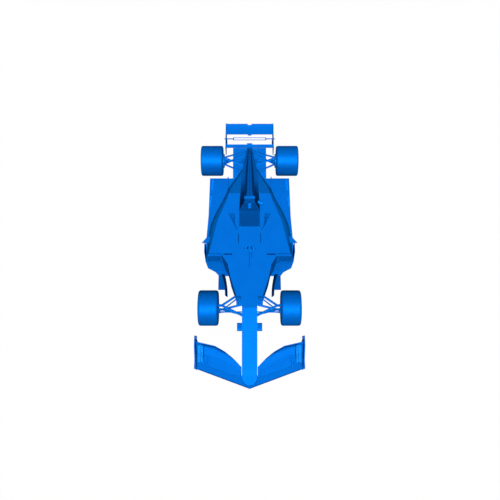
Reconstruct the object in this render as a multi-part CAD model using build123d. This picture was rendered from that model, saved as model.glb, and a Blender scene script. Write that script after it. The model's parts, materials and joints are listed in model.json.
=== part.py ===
from build123d import *
import math
import os

os.makedirs("parts", exist_ok=True)

# An open wheel racing car: a single-seat circuit car with exposed wheels, front and rear wings.
# Millimetres. +X is the driver's left, -Y is forward, +Z is up; the origin is on the ground, in the
# centre plane, halfway along the car. The front half is placed from the front axle, the tail from
# the rear axle.

# --- Whole car ---------------------------------------------------------------------------------
wheelbase = 3280.0
front_reach = 1435.0                     # front axle to the point of the front wing
rear_reach = 555.0                       # rear axle to the trailing edge of the rear flap
overall_length = front_reach + wheelbase + rear_reach
front_axle_y = front_reach - overall_length / 2
rear_axle_y = front_axle_y + wheelbase
deck_z = 590.0                           # flat top of the survival cell and the sidepods
seat_gap = 0.3                           # rest clearance between pieces that seat on curved faces
fit_gap = 0.1                            # radial clearance of pins and spindles

# --- Wheels and tyres --------------------------------------------------------------------------
front_tyre_radius = 325.0
front_tyre_width = 365.0
front_tyre_inner_x = 572.0
rear_tyre_radius = 310.0
rear_tyre_width = 452.0
rear_tyre_inner_x = 548.0
bead_radius = 168.0                      # 13 inch rim
rim_wall = 9.0
front_shoulder = 42.0                    # rounding of the tread's shoulders
rear_shoulder = 34.0
shoulder_steps = 4                       # flats that round each shoulder
sidewall_bulge = 8.0                     # the rim stops this far inside each sidewall
bulge_height = 45.0                      # widest point of the sidewall, above the bead
spoke_count = 10
spoke_share = 0.4                        # of the disc's circle, taken up by the spokes
window_inset = 12.0                      # from the hub and from the barrel
wheel_disc = 16.0                        # thickness of the spoked disc
disc_inset = 75.0                        # disc's outer face inboard of the rim's outer lip
hub_radius = 46.0
hub_nose = 12.0                          # the hub stands this far out of the disc
hub_bevel = 12.0
drum_radius = 142.0                      # brake duct drum inside the rim
drum_depth = 120.0
drum_flange = 6.0                        # the upright's plate stands out this far round the drum
hub_gap = 20.0                           # from the drum's face to the hub
spindle_radius = 25.0
spindle_gap = 2.0                        # short of the bottom of the hub's bore
shaft_radius = 20.0

# --- Suspension --------------------------------------------------------------------------------
kingpin_x = 545.0
upper_ball_z = 450.0
lower_ball_z = 250.0
eye_radius = 20.0
eye_depth = 24.0
ear_depth = 10.0
tongue_reach = 40.0                      # flat end of a wishbone that reaches into its fork
pin_radius = 8.0
upright_face_x = 572.0                   # inner face of the upright's plate
upright_plate = 14.0
rack_y = front_axle_y - 81.0
rack_z = 330.0
rack_radius = 12.0
rack_eye_bore = 12.5                     # slack eye: the pin travels on an arc, the rack on a line
rack_pin_radius = 7.0
rack_eye_radius = 19.0
rack_eye_depth = 18.0
rack_ear = 18.0                          # radius of the steering fork's ears
rack_tongue = 60.0                       # flat end of the bar, inboard of each eye
pushrod_radius = 12.0
arm_chord = 44.0
arm_depth = 16.0
rear_upright_plate = 28.0
rear_ball_x = 530.0
rear_upper_z = 430.0
rear_lower_z = 190.0

# inner ends of the front wishbone legs: ball joint height, X, distance behind the front axle, Z
front_legs = [
    (upper_ball_z, 120.0, -202.0, 455.0),
    (upper_ball_z, 220.0, 200.0, 460.0),
    (lower_ball_z, 120.0, -130.0, 320.0),
    (lower_ball_z, 120.0, 80.0, 300.0),
]
# inner ends of the rear wishbone legs: ball joint height, X, distance behind the rear axle, Z
rear_legs = [
    (rear_upper_z, 60.0, -190.0, 380.0),
    (rear_upper_z, 30.0, 265.0, 300.0),
    (rear_lower_z, 60.0, -230.0, 180.0),
    (rear_lower_z, 30.0, 250.0, 262.0),
]

# --- Survival cell -----------------------------------------------------------------------------
nose_half = 138.0
nose_joint_y = front_axle_y - 150.0
slope_start_y = front_axle_y - 97.0
shoulder_y = front_axle_y - 50.0         # the deck steps out to its full front width here
cell_rear_y = front_axle_y + 1960.0
cell_wall = 26.0
cell_half = 400.0
cell_front_half = 240.0
step_bevel = 30.0                        # bright bevel along the front of the deck's shoulders
undercut_reach = 190.0                   # the shoulders taper away below over this length
undercut_z = 250.0
pocket_y = front_axle_y + 87.0           # rocker pockets in the deck's edge
pocket_length = 83.0
pocket_half = 150.0
pocket_z = 500.0
rocker_width = 30.0
rocker_length = 40.0
cockpit_half = 200.0
cockpit_front_y = front_axle_y + 1564.0
cockpit_rear_y = front_axle_y + 1900.0
cabin_front_y = front_axle_y + 900.0
foot_y = front_axle_y + 120.0
foot_half = nose_half - cell_wall
foot_rise = 40.0                         # the footwell's roof drops this much towards the pedals
cockpit_floor_z = 115.0
groove_x = 209.0                         # drains beside the headrest fairing
groove_width = 14.0
groove_depth = 14.0
groove_front_y = front_axle_y + 1203.0
dash_y = front_axle_y + 1160.0
dash_depth = 20.0
dash_low_z = 330.0
column_z = 425.0
column_radius = 14.0
hand_wheel_y = front_axle_y + 1490.0
hand_wheel_depth = 26.0
hand_wheel_size = (236.0, 150.0, 40.0)   # width, height, corner radius
display_hole = (28.0, 120.0, 44.0, 18.0)     # centre's height, width, height, corner radius
thumb_hole = (-42.0, 120.0, 30.0, 12.0)
column_overlap = 10.0                    # of the column, behind the wheel's front face
seat_wall = 8.0
seat_half = 185.0
seat_front_y = front_axle_y + 1500.0
seat_back_gap = 4.0                      # behind the seat's back
seat_back_depth = (78.0, 2.0)            # of the back, at the base and at its top
seat_bolster_reach = 160.0               # the bolsters start this far ahead of the back
seat_bolster_rise = (60.0, 140.0)        # over the base: at the front edge, at the bolsters' start
seat_wing_reach = 40.0                   # the back's side walls
seat_wing_drop = 120.0
seat_top_z = deck_z - 5.0

# deck outline: half-width, Y
cell_outline = [
    (nose_half, nose_joint_y),
    (nose_half, shoulder_y),
    (cell_front_half, shoulder_y),
    (242.0, front_axle_y + 128.0),
    (258.0, front_axle_y + 193.0),
    (349.0, front_axle_y + 484.0),
    (cell_half, front_axle_y + 728.0),
    (cell_half, cell_rear_y),
]

# --- Nose --------------------------------------------------------------------------------------
nose_tip_y = front_axle_y - front_reach + 45.0
nose_round_y = nose_tip_y + 157.0        # the half-round tip starts here
nose_top_tip_z = 200.0
nose_tip_drop = 50.0
nose_low_tip_z = 132.0
nose_low_joint_z = 290.0
hanger_x = 80.0
hanger_depth = 12.0
hanger_start = 20.0                      # behind the half-round tip
hanger_length = 240.0
hanger_rake = 40.0
nose_camera_y = front_axle_y - 407.0
nose_camera_reach = 88.0
nose_camera_half = 76.0
nose_camera_drop = 45.0                  # below the nose's top

# --- Front wing --------------------------------------------------------------------------------
front_wing_y = front_axle_y - front_reach
front_wing_z = 85.0
front_wing_skin = 18.0
front_wing_top = front_wing_z + front_wing_skin
front_wing_sweep = 0.375                 # leading edge: mm back per mm outboard
front_wing_half = 940.0                  # to the foot of the endplate
slot_overlap = 30.0                      # the main plane runs this far below the flap
slot_gap = 12.0
flap_skin = 8.0
flap_bend = 0.55                         # chord share where the flap's slope steepens
curl_start = 0.87                        # chord share where its trailing edge curls up
flap_slope = math.tan(math.radians(9))
flap_rear_slope = math.tan(math.radians(16))
endplate_lean = 10.0                     # degrees from upright, outwards
endplate_z = 60.0
endplate_depth = 12.0
endplate_foot = 60.0                     # breadth of the foot outboard of the plate
endplate_foot_depth = 10.0
endplate_height = (140.0, 245.0)         # along the plate: at the front corner, at the tail
endplate_front_rake = 49.0
endplate_tail_lift = (84.0, 190.0)       # cut off the tail's lower corner: length, height
endplate_tail_rake = 13.0
endplate_crest = 180.0                   # length of the level top
endplate_foot_sweep = 27.0
endplate_front_y = front_wing_y + 346.0
endplate_rear_y = front_wing_y + 928.0
fence_depth = 6.0
fence_height = 34.0
fence_root = 4.0                         # sunk into the flap's skin

# flap stations: X, leading edge Y, trailing edge Y, height of the curl
flap_stations = [
    (nose_half + 6, front_wing_y + 205.0, front_wing_y + 373.0, 4.0),
    (279.0, front_wing_y + 247.0, front_wing_y + 513.0, 12.0),
    (442.0, front_wing_y + 299.0, front_wing_y + 639.0, 40.0),
    (624.0, front_wing_y + 363.0, front_wing_y + 735.0, 68.0),
    (front_wing_half + endplate_foot, front_wing_y + 493.0, front_wing_y + 823.0, 76.0),
]
# fences on the flap: X, chord share of its front end, of its rear end
flap_fences = [
    (front_wing_half - 185.0, 0.0, 0.45),
    (front_wing_half - 110.0, 0.1, 0.85),
    (front_wing_half - 60.0, 0.0, 0.85),
]

# --- Floor -------------------------------------------------------------------------------------
ride_height = 50.0
plank_depth = 10.0
floor_depth = 20.0
floor_z = ride_height + plank_depth
floor_top = floor_z + floor_depth
floor_rear_y = rear_axle_y - 280.0
plank_half = 150.0
floor_outline = [                        # half-width, Y
    (plank_half, front_axle_y + 420.0),
    (250.0, front_axle_y + 500.0),
    (250.0, front_axle_y + 759.0),
    (590.0, front_axle_y + 759.0),
    (661.0, front_axle_y + 844.0),
    (811.0, front_axle_y + 929.0),
    (857.0, front_axle_y + 1059.0),
    (876.0, front_axle_y + 1277.0),
    (854.0, front_axle_y + 1703.0),
    (834.0, front_axle_y + 2095.0),
    (830.0, floor_rear_y),
]
plank_outline = [                        # half-width, Y
    (40.0, front_axle_y + 430.0),
    (plank_half, front_axle_y + 510.0),
    (plank_half, floor_rear_y),
]
floor_fence_x = 450.0
floor_fence_length = 290.0
floor_fence_height = 60.0
floor_fence_depth = 20.0
diffuser_half = 350.0
diffuser_rear_y = rear_axle_y + 380.0
diffuser_rise = 165.0
diffuser_skin = 14.0
strake_x = 130.0
strake_depth = 8.0
strake_low = 60.0                        # rear lower corner of the strakes, above the floor's level

# --- Bargeboards and side vanes ----------------------------------------------------------------
blade_depth = 8.0
blade_height = 226.0
blade_gap = 4.0                          # below the level of the floor's lower face
barge_foot = 10.0
barge_foot_outline = [                   # X, Y
    (600.0, front_axle_y + 469.0),
    (466.0, front_axle_y + 469.0),
    (466.0, front_axle_y + 770.0),
    (600.0, front_axle_y + 770.0),
]
blade_low_path = [                       # X, Y
    (480.0, front_axle_y + 800.0),
    (438.0, front_axle_y + 600.0),
    (418.0, front_axle_y + 320.0),
]
blade_top_path = [
    (535.0, front_axle_y + 700.0),
    (476.0, front_axle_y + 500.0),
    (452.0, front_axle_y + 265.0),
]
vane_x = 848.0
vane_depth = 10.0
vane_front_y = front_axle_y + 1050.0
vane_length = 250.0
vane_top_z = 545.0
winglet_depth = 14.0
winglet_drop = 25.0                      # its lower face, below the vane's top
winglet_outline = [                      # X, Y
    (700.0, front_axle_y + 1244.0),
    (907.0, front_axle_y + 1244.0),
    (816.0, front_axle_y + 1362.0),
    (700.0, front_axle_y + 1400.0),
]

# --- Sidepods ----------------------------------------------------------------------------------
pod_front_y = front_axle_y + 865.0
waist_share = 0.55                       # of the pod's height, at its widest
inlet_low_z = 270.0
inlet_face_y = front_axle_y + 955.0
inlet_undercut = 17.0                    # the inlet's lower lip stands this far forward of its upper one
lip_z = 550.0                            # ledge below the deck's front edge
lip_depth = 33.0
core_recess = 12.0                       # radiator core behind the inlet's face
core_margin = 24.0
core_x = (566.0, 790.0)
gusset = [                               # fairing from the cell to the pod: X, Y
    (cell_half, front_axle_y + 757.0),
    (520.0, front_axle_y + 958.0),
    (545.0, front_axle_y + 1030.0),
    (545.0, front_axle_y + 1200.0),
    (cell_half, front_axle_y + 1200.0),
]
# pod stations: Y, top, half-width at the waist, half-width at the floor, breadth of the shoulder
pod_stations = [
    (pod_front_y, deck_z, 815.0, 690.0, 20.0),
    (front_axle_y + 1342.0, deck_z, 800.0, 670.0, 110.0),
    (front_axle_y + 1614.0, deck_z, 770.0, 630.0, 135.0),
    (front_axle_y + 1740.0, deck_z, 742.0, 600.0, 142.0),
    (front_axle_y + 1979.0, deck_z, 654.0, 520.0, 140.0),
    (front_axle_y + 2195.0, deck_z, 545.0, 430.0, 110.0),
    (front_axle_y + 2310.0, deck_z, 495.0, 390.0, 88.0),
    (rear_axle_y - 746.0, 532.0, 425.0, 340.0, 85.0),
    (rear_axle_y - 578.0, 488.0, 338.0, 275.0, 80.0),
    (rear_axle_y - 384.0, 438.0, 238.0, 195.0, 60.0),
    (rear_axle_y - 150.0, 378.0, 130.0, 115.0, 40.0),
]

# --- Engine, gearbox and their cover -----------------------------------------------------------
engine_half = 170.0
engine_rear_y = front_axle_y + 2500.0
engine_low_z = floor_top + 10.0
engine_top_z = 470.0
gearbox_rear_y = rear_axle_y + 400.0
gearbox_half = 85.0
gearbox_tail_half = 50.0
gearbox_taper_y = rear_axle_y - 100.0
jack_pin_radius = 9.0
jack_pin_length = 60.0
jack_pin_z = 272.0
gearbox_outline = [                      # Y, Z
    (engine_rear_y, engine_low_z),
    (rear_axle_y - 299.0, engine_low_z + 30),
    (rear_axle_y + 120.0, 225.0),
    (gearbox_rear_y, jack_pin_z - 10),
    (gearbox_rear_y, jack_pin_z + 10),
    (rear_axle_y + 305.0, 285.0),
    (rear_axle_y + 120.0, 330.0),
    (rear_axle_y - 180.0, 400.0),
    (engine_rear_y, 450.0),
]
cover_belt_drop = 20.0                   # straight band below the rounded crown
# cover stations: Y, crown height, crown half-width, shoulder drop, shoulder half-width,
# half-width at the base, base height
cover_stations = [
    (cockpit_rear_y, 900.0, 106.0, 85.0, 152.0, 200.0, 470.0),
    (cell_rear_y + 60.0, 868.0, 84.0, 80.0, 138.0, 198.0, 470.0),
    (cell_rear_y + 220.0, 812.0, 58.0, 70.0, 106.0, 193.0, 470.0),
    (cell_rear_y + 390.0, 752.0, 46.0, 60.0, 92.0, 178.0, 470.0),
    (rear_axle_y - 430.0, 590.0, 36.0, 55.0, 80.0, 160.0, 380.0),
    (rear_axle_y - 80.0, 465.0, 28.0, 40.0, 56.0, 118.0, 365.0),
    (rear_axle_y + 120.0, 395.0, 22.0, 25.0, 42.0, 84.0, 330.0),
    (rear_axle_y + 305.0, 335.0, 16.0, 15.0, 30.0, 56.0, 285.0),
]
camera_bar_y = cockpit_rear_y + 90.0
camera_bar_half = 100.0
camera_bar_length = 56.0
camera_bar_z = 935.0
camera_bar_depth = 25.0
camera_stalk_half = 15.0
camera_stalk_length = 48.0
camera_stalk_drop = 85.0
hoop_pod_half = 27.0
hoop_pod_length = 96.0
hoop_pod_depth = 26.0
hoop_pod_z = 895.0
hoop_pod_tilt = 15.0                     # degrees: its top falls away forwards
telemetry_front_y = front_axle_y + 2050.0
telemetry_length = 75.0
telemetry_height = 35.0
telemetry_lip = 12.0
telemetry_tail = 25.0                    # from its highest line to its rear edge
telemetry_x = (125.0, 262.0)

# --- Rear wing ---------------------------------------------------------------------------------
wing_half = 480.0
wing_plate = 16.0
wing_rear_y = rear_axle_y + rear_reach
wing_front_y = rear_axle_y - 18.0
slat_chord = 74.0
slat_z = 800.0
slat_skin = 14.0
slat_camber = 4.0
slat_rise = 10.0
flap_front_z = 783.0
flap_rise = 44.0
flap_chord = 230.0
flap_camber = 12.0
rear_flap_skin = 14.0
flap_notch_half = 38.0
flap_notch_depth = 20.0
flap_tab_depth = 26.0
edge_depth = 4.0                         # trailing edges
lead_depth = 8.0                         # leading edges
wing_plate_low_z = 545.0
wing_plate_top_z = 850.0
wing_plate_front_z = 818.0
wing_plate_cut = (60.0, 120.0)           # lower rear corner: length, height
wing_rod_radius = 6.0
wing_rod_z = 800.0
wing_rod_y = (rear_axle_y + 170.0, rear_axle_y + 225.0)
wing_rod_half = 336.0
wing_bracket = (20.0, 8.0)               # length, depth
pylon_depth = 16.0
pylon_block_half = 54.0
pylon_outline = [                        # Y, Z
    (rear_axle_y, 300.0),
    (rear_axle_y + 250.0, 270.0),
    (rear_axle_y + 150.0, 500.0),
    (rear_axle_y + 68.0, slat_z - 8),
    (rear_axle_y - 5.0, slat_z - 8),
    (rear_axle_y + 50.0, 500.0),
]

SIDES = (("left", 1), ("right", -1))


def plan(points, low, high):
    """Solid standing on a plan outline of (X, Y) points, from low to high."""
    return Pos(0, 0, low) * extrude(make_face(Polyline(*points, close=True)), high - low)


def profile(points, x_from, x_to):
    """Solid with a side outline of (Y, Z) points, from x_from to x_to."""
    face = Plane.YZ.offset(x_from) * make_face(Polyline(*points, close=True))
    return extrude(face, x_to - x_from)


def cross_face(points, y):
    """Face of (X, Z) points across the car at station y."""
    plane = Plane(origin=(0, y, 0), x_dir=(1, 0, 0), z_dir=(0, -1, 0))
    return plane * make_face(Polyline(*points, close=True))


def both_sides(half_outline):
    """Closed outline from its (half-width, other) points, first to last on +X, then back on -X."""
    return half_outline + [(-x, other) for x, other in reversed(half_outline)]


def block(x, y, z):
    """Box from three (low, high) pairs."""
    size = (x[1] - x[0], y[1] - y[0], z[1] - z[0])
    return Pos((x[0] + x[1]) / 2, (y[0] + y[1]) / 2, (z[0] + z[1]) / 2) * Box(*size)


def rod(start, end, radius):
    """Round bar between two points."""
    axis = Vector(*end) - Vector(*start)
    return extrude(Plane(origin=start, z_dir=axis) * Circle(radius), axis.length)


def arm(start, end):
    """Suspension link: a flat lens-shaped tube between two points, its chord level."""
    axis = Vector(*end) - Vector(*start)
    section = Plane(origin=start, x_dir=axis.cross(Vector(0, 0, 1)), z_dir=axis)
    chord, depth = arm_chord / 2, arm_depth / 2
    upper = ThreePointArc((-chord, 0), (0, depth), (chord, 0))
    lower = ThreePointArc((chord, 0), (0, -depth), (-chord, 0))
    return extrude(section * make_face([upper, lower]), axis.length)


def upright_pin(x, y, low, high, radius):
    """Vertical round pin or hole."""
    return Pos(x, y, (low + high) / 2) * Cylinder(radius, high - low)


def mirrored(solid, side):
    return solid if side > 0 else mirror(solid, Plane.YZ)


# --- Wheels ------------------------------------------------------------------------------------
def spin(points, y, z):
    """Ring turned about the wheel's axle from (X, radius) points."""
    return Pos(0, y, z) * revolve(Plane.XZ * make_face(Polyline(*points, close=True)), Axis.X)


def tyre(inner_x, width, radius, shoulder, y):
    """Slick tyre: a flat tread, rounded shoulders and sidewalls that bulge over the bead."""
    turns = [math.radians(90 * step / shoulder_steps) for step in range(shoulder_steps + 1)]
    rounding = [(shoulder * (1 - math.cos(t)), radius - shoulder * (1 - math.sin(t))) for t in turns]
    half = [(sidewall_bulge, bead_radius + seat_gap), (0.0, bead_radius + bulge_height)] + rounding
    inner = [(inner_x + x, r) for x, r in half]
    outer = [(inner_x + width - x, r) for x, r in reversed(half)]
    return spin(inner + outer, y, radius)


def hub_bottom(inner_x, width):
    """X of the bottom of the hub's bore, which is the inner face of the spoked disc."""
    return inner_x + width - sidewall_bulge - disc_inset - wheel_disc


def rim(inner_x, width, y, z, bore_radius):
    """Barrel, spoked disc and hub with a blind bore for the spindle or shaft."""
    lip_in = inner_x + sidewall_bulge
    lip_out = inner_x + width - sidewall_bulge
    disc_in = hub_bottom(inner_x, width)
    disc_out = disc_in + wheel_disc
    hub_in = inner_x + drum_depth + hub_gap
    nose = disc_out + hub_nose
    inside = bead_radius - rim_wall
    barrel = spin([(lip_in, bead_radius), (lip_out, bead_radius), (lip_out, inside), (lip_in, inside)], y, z)
    disc = spin([(disc_in, 0), (disc_out, 0), (disc_out, inside + 1), (disc_in, inside + 1)], y, z)
    hub = spin([(hub_in, 0), (nose, 0), (nose, hub_radius - hub_bevel), (disc_out, hub_radius),
                (hub_in, hub_radius)], y, z)
    low, high = hub_radius + window_inset, inside - window_inset
    spread = math.tan(math.pi / spoke_count) * (1 - spoke_share)
    window = Polyline(
        (low, -low * spread), (high, -high * spread), (high, high * spread), (low, low * spread), close=True)
    face_plane = Plane(origin=(disc_in, y, z), x_dir=(0, 0, 1), z_dir=(1, 0, 0))
    for place in PolarLocations(0, spoke_count):
        disc -= extrude(face_plane * place * make_face(window), wheel_disc)
    return barrel + disc + hub - rod((hub_in, y, z), (disc_in, y, z), bore_radius)


def fork(x, y, z, depth, back_x, pin, ear):
    """Two level ears with a pin through them, reaching from back_x to a ball joint."""
    slot = depth / 2 + seat_gap
    body = upright_pin(x, y, z - slot - ear_depth, z + slot + ear_depth, pin)
    for low in (z + slot, z - slot - ear_depth):
        body += block((x, back_x + 1), (y - ear, y + ear), (low, low + ear_depth))
        body += upright_pin(x, y, low, low + ear_depth, ear)
    return body


def knuckle_front():
    """Front upright with its brake drum, spindle, ball joint forks and steering fork."""
    y = front_axle_y
    z = front_tyre_radius
    back_x = upright_face_x + upright_plate
    drum_x = front_tyre_inner_x + drum_depth
    body = rod((upright_face_x, y, z), (back_x, y, z), drum_radius + drum_flange)
    body += rod((back_x, y, z), (drum_x, y, z), drum_radius)
    end_x = hub_bottom(front_tyre_inner_x, front_tyre_width) - spindle_gap
    body += rod((drum_x, y, z), (end_x, y, z), spindle_radius)
    for ball_z in (upper_ball_z, lower_ball_z):
        body += fork(kingpin_x, y, ball_z, eye_depth, upright_face_x, pin_radius, eye_radius)
    return body + fork(kingpin_x, rack_y, rack_z, rack_eye_depth, upright_face_x, rack_pin_radius, rack_ear)


def steering_rack():
    """Rack bar and both track rods in one bar, with a slack flat eye at each end."""
    reach = kingpin_x - rack_tongue
    low, high = rack_z - rack_eye_depth / 2, rack_z + rack_eye_depth / 2
    bar = rod((-reach, rack_y, rack_z), (reach, rack_y, rack_z), rack_radius)
    for _, side in SIDES:
        ends = sorted((side * (reach - rack_radius), side * kingpin_x))
        bar += block(ends, (rack_y - rack_radius, rack_y + rack_radius), (low, high))
        bar += upright_pin(side * kingpin_x, rack_y, low, high, rack_eye_radius)
        bar -= upright_pin(side * kingpin_x, rack_y, low, high, rack_eye_bore)
    return bar


# --- Survival cell and cockpit -----------------------------------------------------------------
def nose_top(y):
    """Height of the nose's straight top slope."""
    share = (slope_start_y - y) / (slope_start_y - nose_round_y)
    return deck_z + (nose_top_tip_z - deck_z) * max(0.0, share)


def cell_hollow():
    """Cockpit opening, cabin and footwell as one cutter."""
    roof_z = deck_z - cell_wall
    opening = block((-cockpit_half, cockpit_half), (cockpit_front_y, cockpit_rear_y),
                    (cockpit_floor_z, deck_z + 1))
    cabin = block((-cockpit_half, cockpit_half), (cabin_front_y, cockpit_rear_y), (cockpit_floor_z, roof_z))
    well = profile([
        (foot_y, nose_low_joint_z + 20),
        (foot_y + 480, 230.0),
        (cabin_front_y + 1, cockpit_floor_z + 20),
        (cabin_front_y + 1, roof_z),
        (foot_y, roof_z - foot_rise),
    ], -foot_half, foot_half)
    return opening + cabin + well


def deck_cuts():
    """Bevelled and undercut shoulders, rocker pocket and drain of one side of the deck."""
    shoulder = profile([
        (shoulder_y - 1, undercut_z),
        (shoulder_y + undercut_reach, undercut_z),
        (shoulder_y, deck_z - step_bevel),
        (shoulder_y + step_bevel, deck_z),
        (shoulder_y + step_bevel, deck_z + 1),
        (shoulder_y - 1, deck_z + 1),
    ], nose_half, cell_half)
    pocket = block((pocket_half, cell_half), (pocket_y - pocket_length / 2, pocket_y + pocket_length / 2),
                   (pocket_z, deck_z + 1))
    drain = block((groove_x - groove_width / 2, groove_x + groove_width / 2),
                  (groove_front_y, cockpit_front_y), (deck_z - groove_depth, deck_z + 1))
    return shoulder + pocket + drain


def monocoque():
    """Survival cell: a tub with a flat deck, an open cockpit and a footwell under the deck."""
    side = profile([
        (nose_joint_y, nose_low_joint_z),
        (front_axle_y + 600.0, 170.0),
        (front_axle_y + 820.0, floor_top),
        (cell_rear_y, floor_top),
        (cell_rear_y, deck_z),
        (slope_start_y, deck_z),
        (nose_joint_y, nose_top(nose_joint_y)),
    ], -cell_half, cell_half)
    shell = (plan(both_sides(cell_outline), floor_top, deck_z) & side) - cell_hollow()
    for _, hand in SIDES:
        shell -= mirrored(deck_cuts(), hand)
    shell += block((-cockpit_half, cockpit_half), (dash_y, dash_y + dash_depth),
                   (dash_low_z, deck_z - cell_wall))
    shell -= rod((0, dash_y - 1, column_z), (0, dash_y + dash_depth + 1, column_z), column_radius + fit_gap)
    return shell - rod((-cell_half, rack_y, rack_z), (cell_half, rack_y, rack_z), rack_radius + seat_gap)


def steering_wheel():
    """Flat-bottomed rim with two grips on a column."""
    plate = RectangleRounded(*hand_wheel_size)
    for rise, width, height, corner in (display_hole, thumb_hole):
        plate -= Pos(0, rise) * RectangleRounded(width, height, corner)
    face = Plane(origin=(0, hand_wheel_y, column_z), x_dir=(1, 0, 0), z_dir=(0, -1, 0)) * plate
    column = rod((0, hand_wheel_y - column_overlap, column_z), (0, dash_y - 40, column_z), column_radius)
    return extrude(face, hand_wheel_depth) + column


def seat():
    """Thin bucket seat: a base, a back that leans and thins out upwards, two low bolsters."""
    back_y = cockpit_rear_y - seat_back_gap
    outer = profile([
        (seat_front_y, cockpit_floor_z),
        (back_y, cockpit_floor_z),
        (back_y, seat_top_z),
        (back_y - seat_wing_reach, seat_top_z - seat_wing_drop),
        (back_y - seat_bolster_reach, cockpit_floor_z + seat_bolster_rise[1]),
        (seat_front_y, cockpit_floor_z + seat_bolster_rise[0]),
    ], -seat_half, seat_half)
    low = cockpit_floor_z + seat_wall
    inner = profile([
        (seat_front_y - 1, low),
        (back_y - seat_back_depth[0], low),
        (back_y - seat_back_depth[1], seat_top_z + 1),
        (seat_front_y - 1, seat_top_z + 1),
    ], seat_wall - seat_half, seat_half - seat_wall)
    return outer - inner


# --- Nose and front wing -----------------------------------------------------------------------
def nose():
    """Flat-topped nose with a half-round tip and two wing hangers below it."""
    side = profile([
        (nose_joint_y, nose_low_joint_z),
        (nose_joint_y, nose_top(nose_joint_y)),
        (nose_round_y, nose_top_tip_z),
        (nose_tip_y, nose_top_tip_z - nose_tip_drop),
        (nose_tip_y, nose_low_tip_z),
        (nose_round_y, nose_low_tip_z),
    ], -nose_half, nose_half)
    reach = nose_round_y - nose_tip_y
    half_round = Ellipse(nose_half, reach) & Pos(0, -reach) * Rectangle(2 * nose_half, 2 * reach)
    tip = Pos(0, nose_round_y) * half_round
    middle = (nose_joint_y + nose_round_y) / 2
    body = Pos(0, middle) * Rectangle(2 * nose_half, nose_joint_y - nose_round_y)
    shape = side & extrude(body + tip, deck_z)
    hanger = profile([
        (nose_round_y + hanger_start, front_wing_top),
        (nose_round_y + hanger_start + hanger_length, front_wing_top),
        (nose_round_y + hanger_start + hanger_length + hanger_rake, nose_low_tip_z + 128),
        (nose_round_y + hanger_start + hanger_rake, nose_low_tip_z + 48),
    ], hanger_x - hanger_depth / 2, hanger_x + hanger_depth / 2)
    for _, hand in SIDES:
        shape += mirrored(hanger, hand)
    return shape


def nose_camera():
    """Camera pod: a short transverse blister on the nose's side."""
    z = nose_top(nose_camera_y) - nose_camera_drop
    outline = SlotOverall(2 * nose_camera_half, nose_camera_half)
    pod = Plane.YZ.offset(nose_half) * Pos(nose_camera_y, z) * outline
    return extrude(pod, nose_camera_reach)


def beyond_endplate():
    """Everything outboard of the endplate's leaning inner face, as a cutter."""
    face = endplate_plane() * Rectangle(2 * front_reach, 2 * front_reach)
    return extrude(face, front_reach)


def endplate_plane():
    """Inner face of the endplate: its own X runs back along the car, its own Y runs up the plate."""
    lean = math.radians(endplate_lean)
    return Plane(origin=(front_wing_half, front_wing_y / 2 + front_axle_y / 2, endplate_z), x_dir=(0, 1, 0),
                 z_dir=(math.cos(lean), 0, -math.sin(lean)))


def front_wing_main():
    """Swept main plane with a straight leading edge."""
    tip_x = front_wing_half + endplate_foot
    outline = [(0.0, front_wing_y), (tip_x, front_wing_y + front_wing_sweep * tip_x)]
    outline += [(x, lead + slot_overlap) for x, lead, _, _ in reversed(flap_stations)]
    outline += [(0.0, flap_stations[0][1] + slot_overlap)]
    half = plan(outline, front_wing_z, front_wing_top) - beyond_endplate()
    return half + mirror(half, Plane.YZ)


def flap_line(lead, trail, curl):
    """Upper line of a flap section: (Y, Z) of its leading edge, bend, curl and trailing edge."""
    chord = trail - lead
    bend_z = front_wing_top + slot_gap + flap_bend * chord * flap_slope
    curl_z = bend_z + (curl_start - flap_bend) * chord * flap_rear_slope
    return [(lead, front_wing_top + slot_gap), (lead + flap_bend * chord, bend_z),
            (lead + curl_start * chord, curl_z), (trail, curl_z + curl)]


def flap_section(x, lead, trail, curl):
    """Flap section in a fore-and-aft plane: the upper line and the same line one skin below."""
    upper = flap_line(lead, trail, curl)
    lower = [(y, z - flap_skin) for y, z in upper[:-1]] + [(trail + flap_skin / 2, upper[-1][1])]
    return Plane.YZ.offset(x) * make_face(Polyline(*upper, *reversed(lower), close=True))


def flap_fence(x, front_share, rear_share):
    """Thin fence along the flap, its foot sunk into the skin."""
    rows = [row for row in flap_stations if row[0] <= x]
    inner, outer = rows[-1], flap_stations[len(rows)]
    share = (x - inner[0]) / (outer[0] - inner[0])
    lead, trail, curl = [a + (b - a) * share for a, b in zip(inner[1:], outer[1:])]
    line = flap_line(lead, trail, curl)
    ends = []
    for place in (front_share, rear_share):
        y = lead + place * (trail - lead)
        before, after = [(a, b) for a, b in zip(line, line[1:]) if a[0] <= y <= b[0]][0]
        ends.append((y, before[1] + (y - before[0]) * (after[1] - before[1]) / (after[0] - before[0])))
    bend = [line[1]] if front_share < flap_bend < rear_share else []
    foot = [(y, z - fence_root) for y, z in [ends[0], *bend, ends[1]]]
    crest = [(ends[1][0], ends[1][1] + fence_height), (ends[0][0], ends[0][1] + fence_height)]
    return profile(foot + crest, x - fence_depth / 2, x + fence_depth / 2)


def front_flap():
    """Flap in one curved sheet, with its fences."""
    flap = loft([flap_section(*row) for row in flap_stations], ruled=True) - beyond_endplate()
    for row in flap_fences:
        flap += flap_fence(*row)
    return flap


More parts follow.
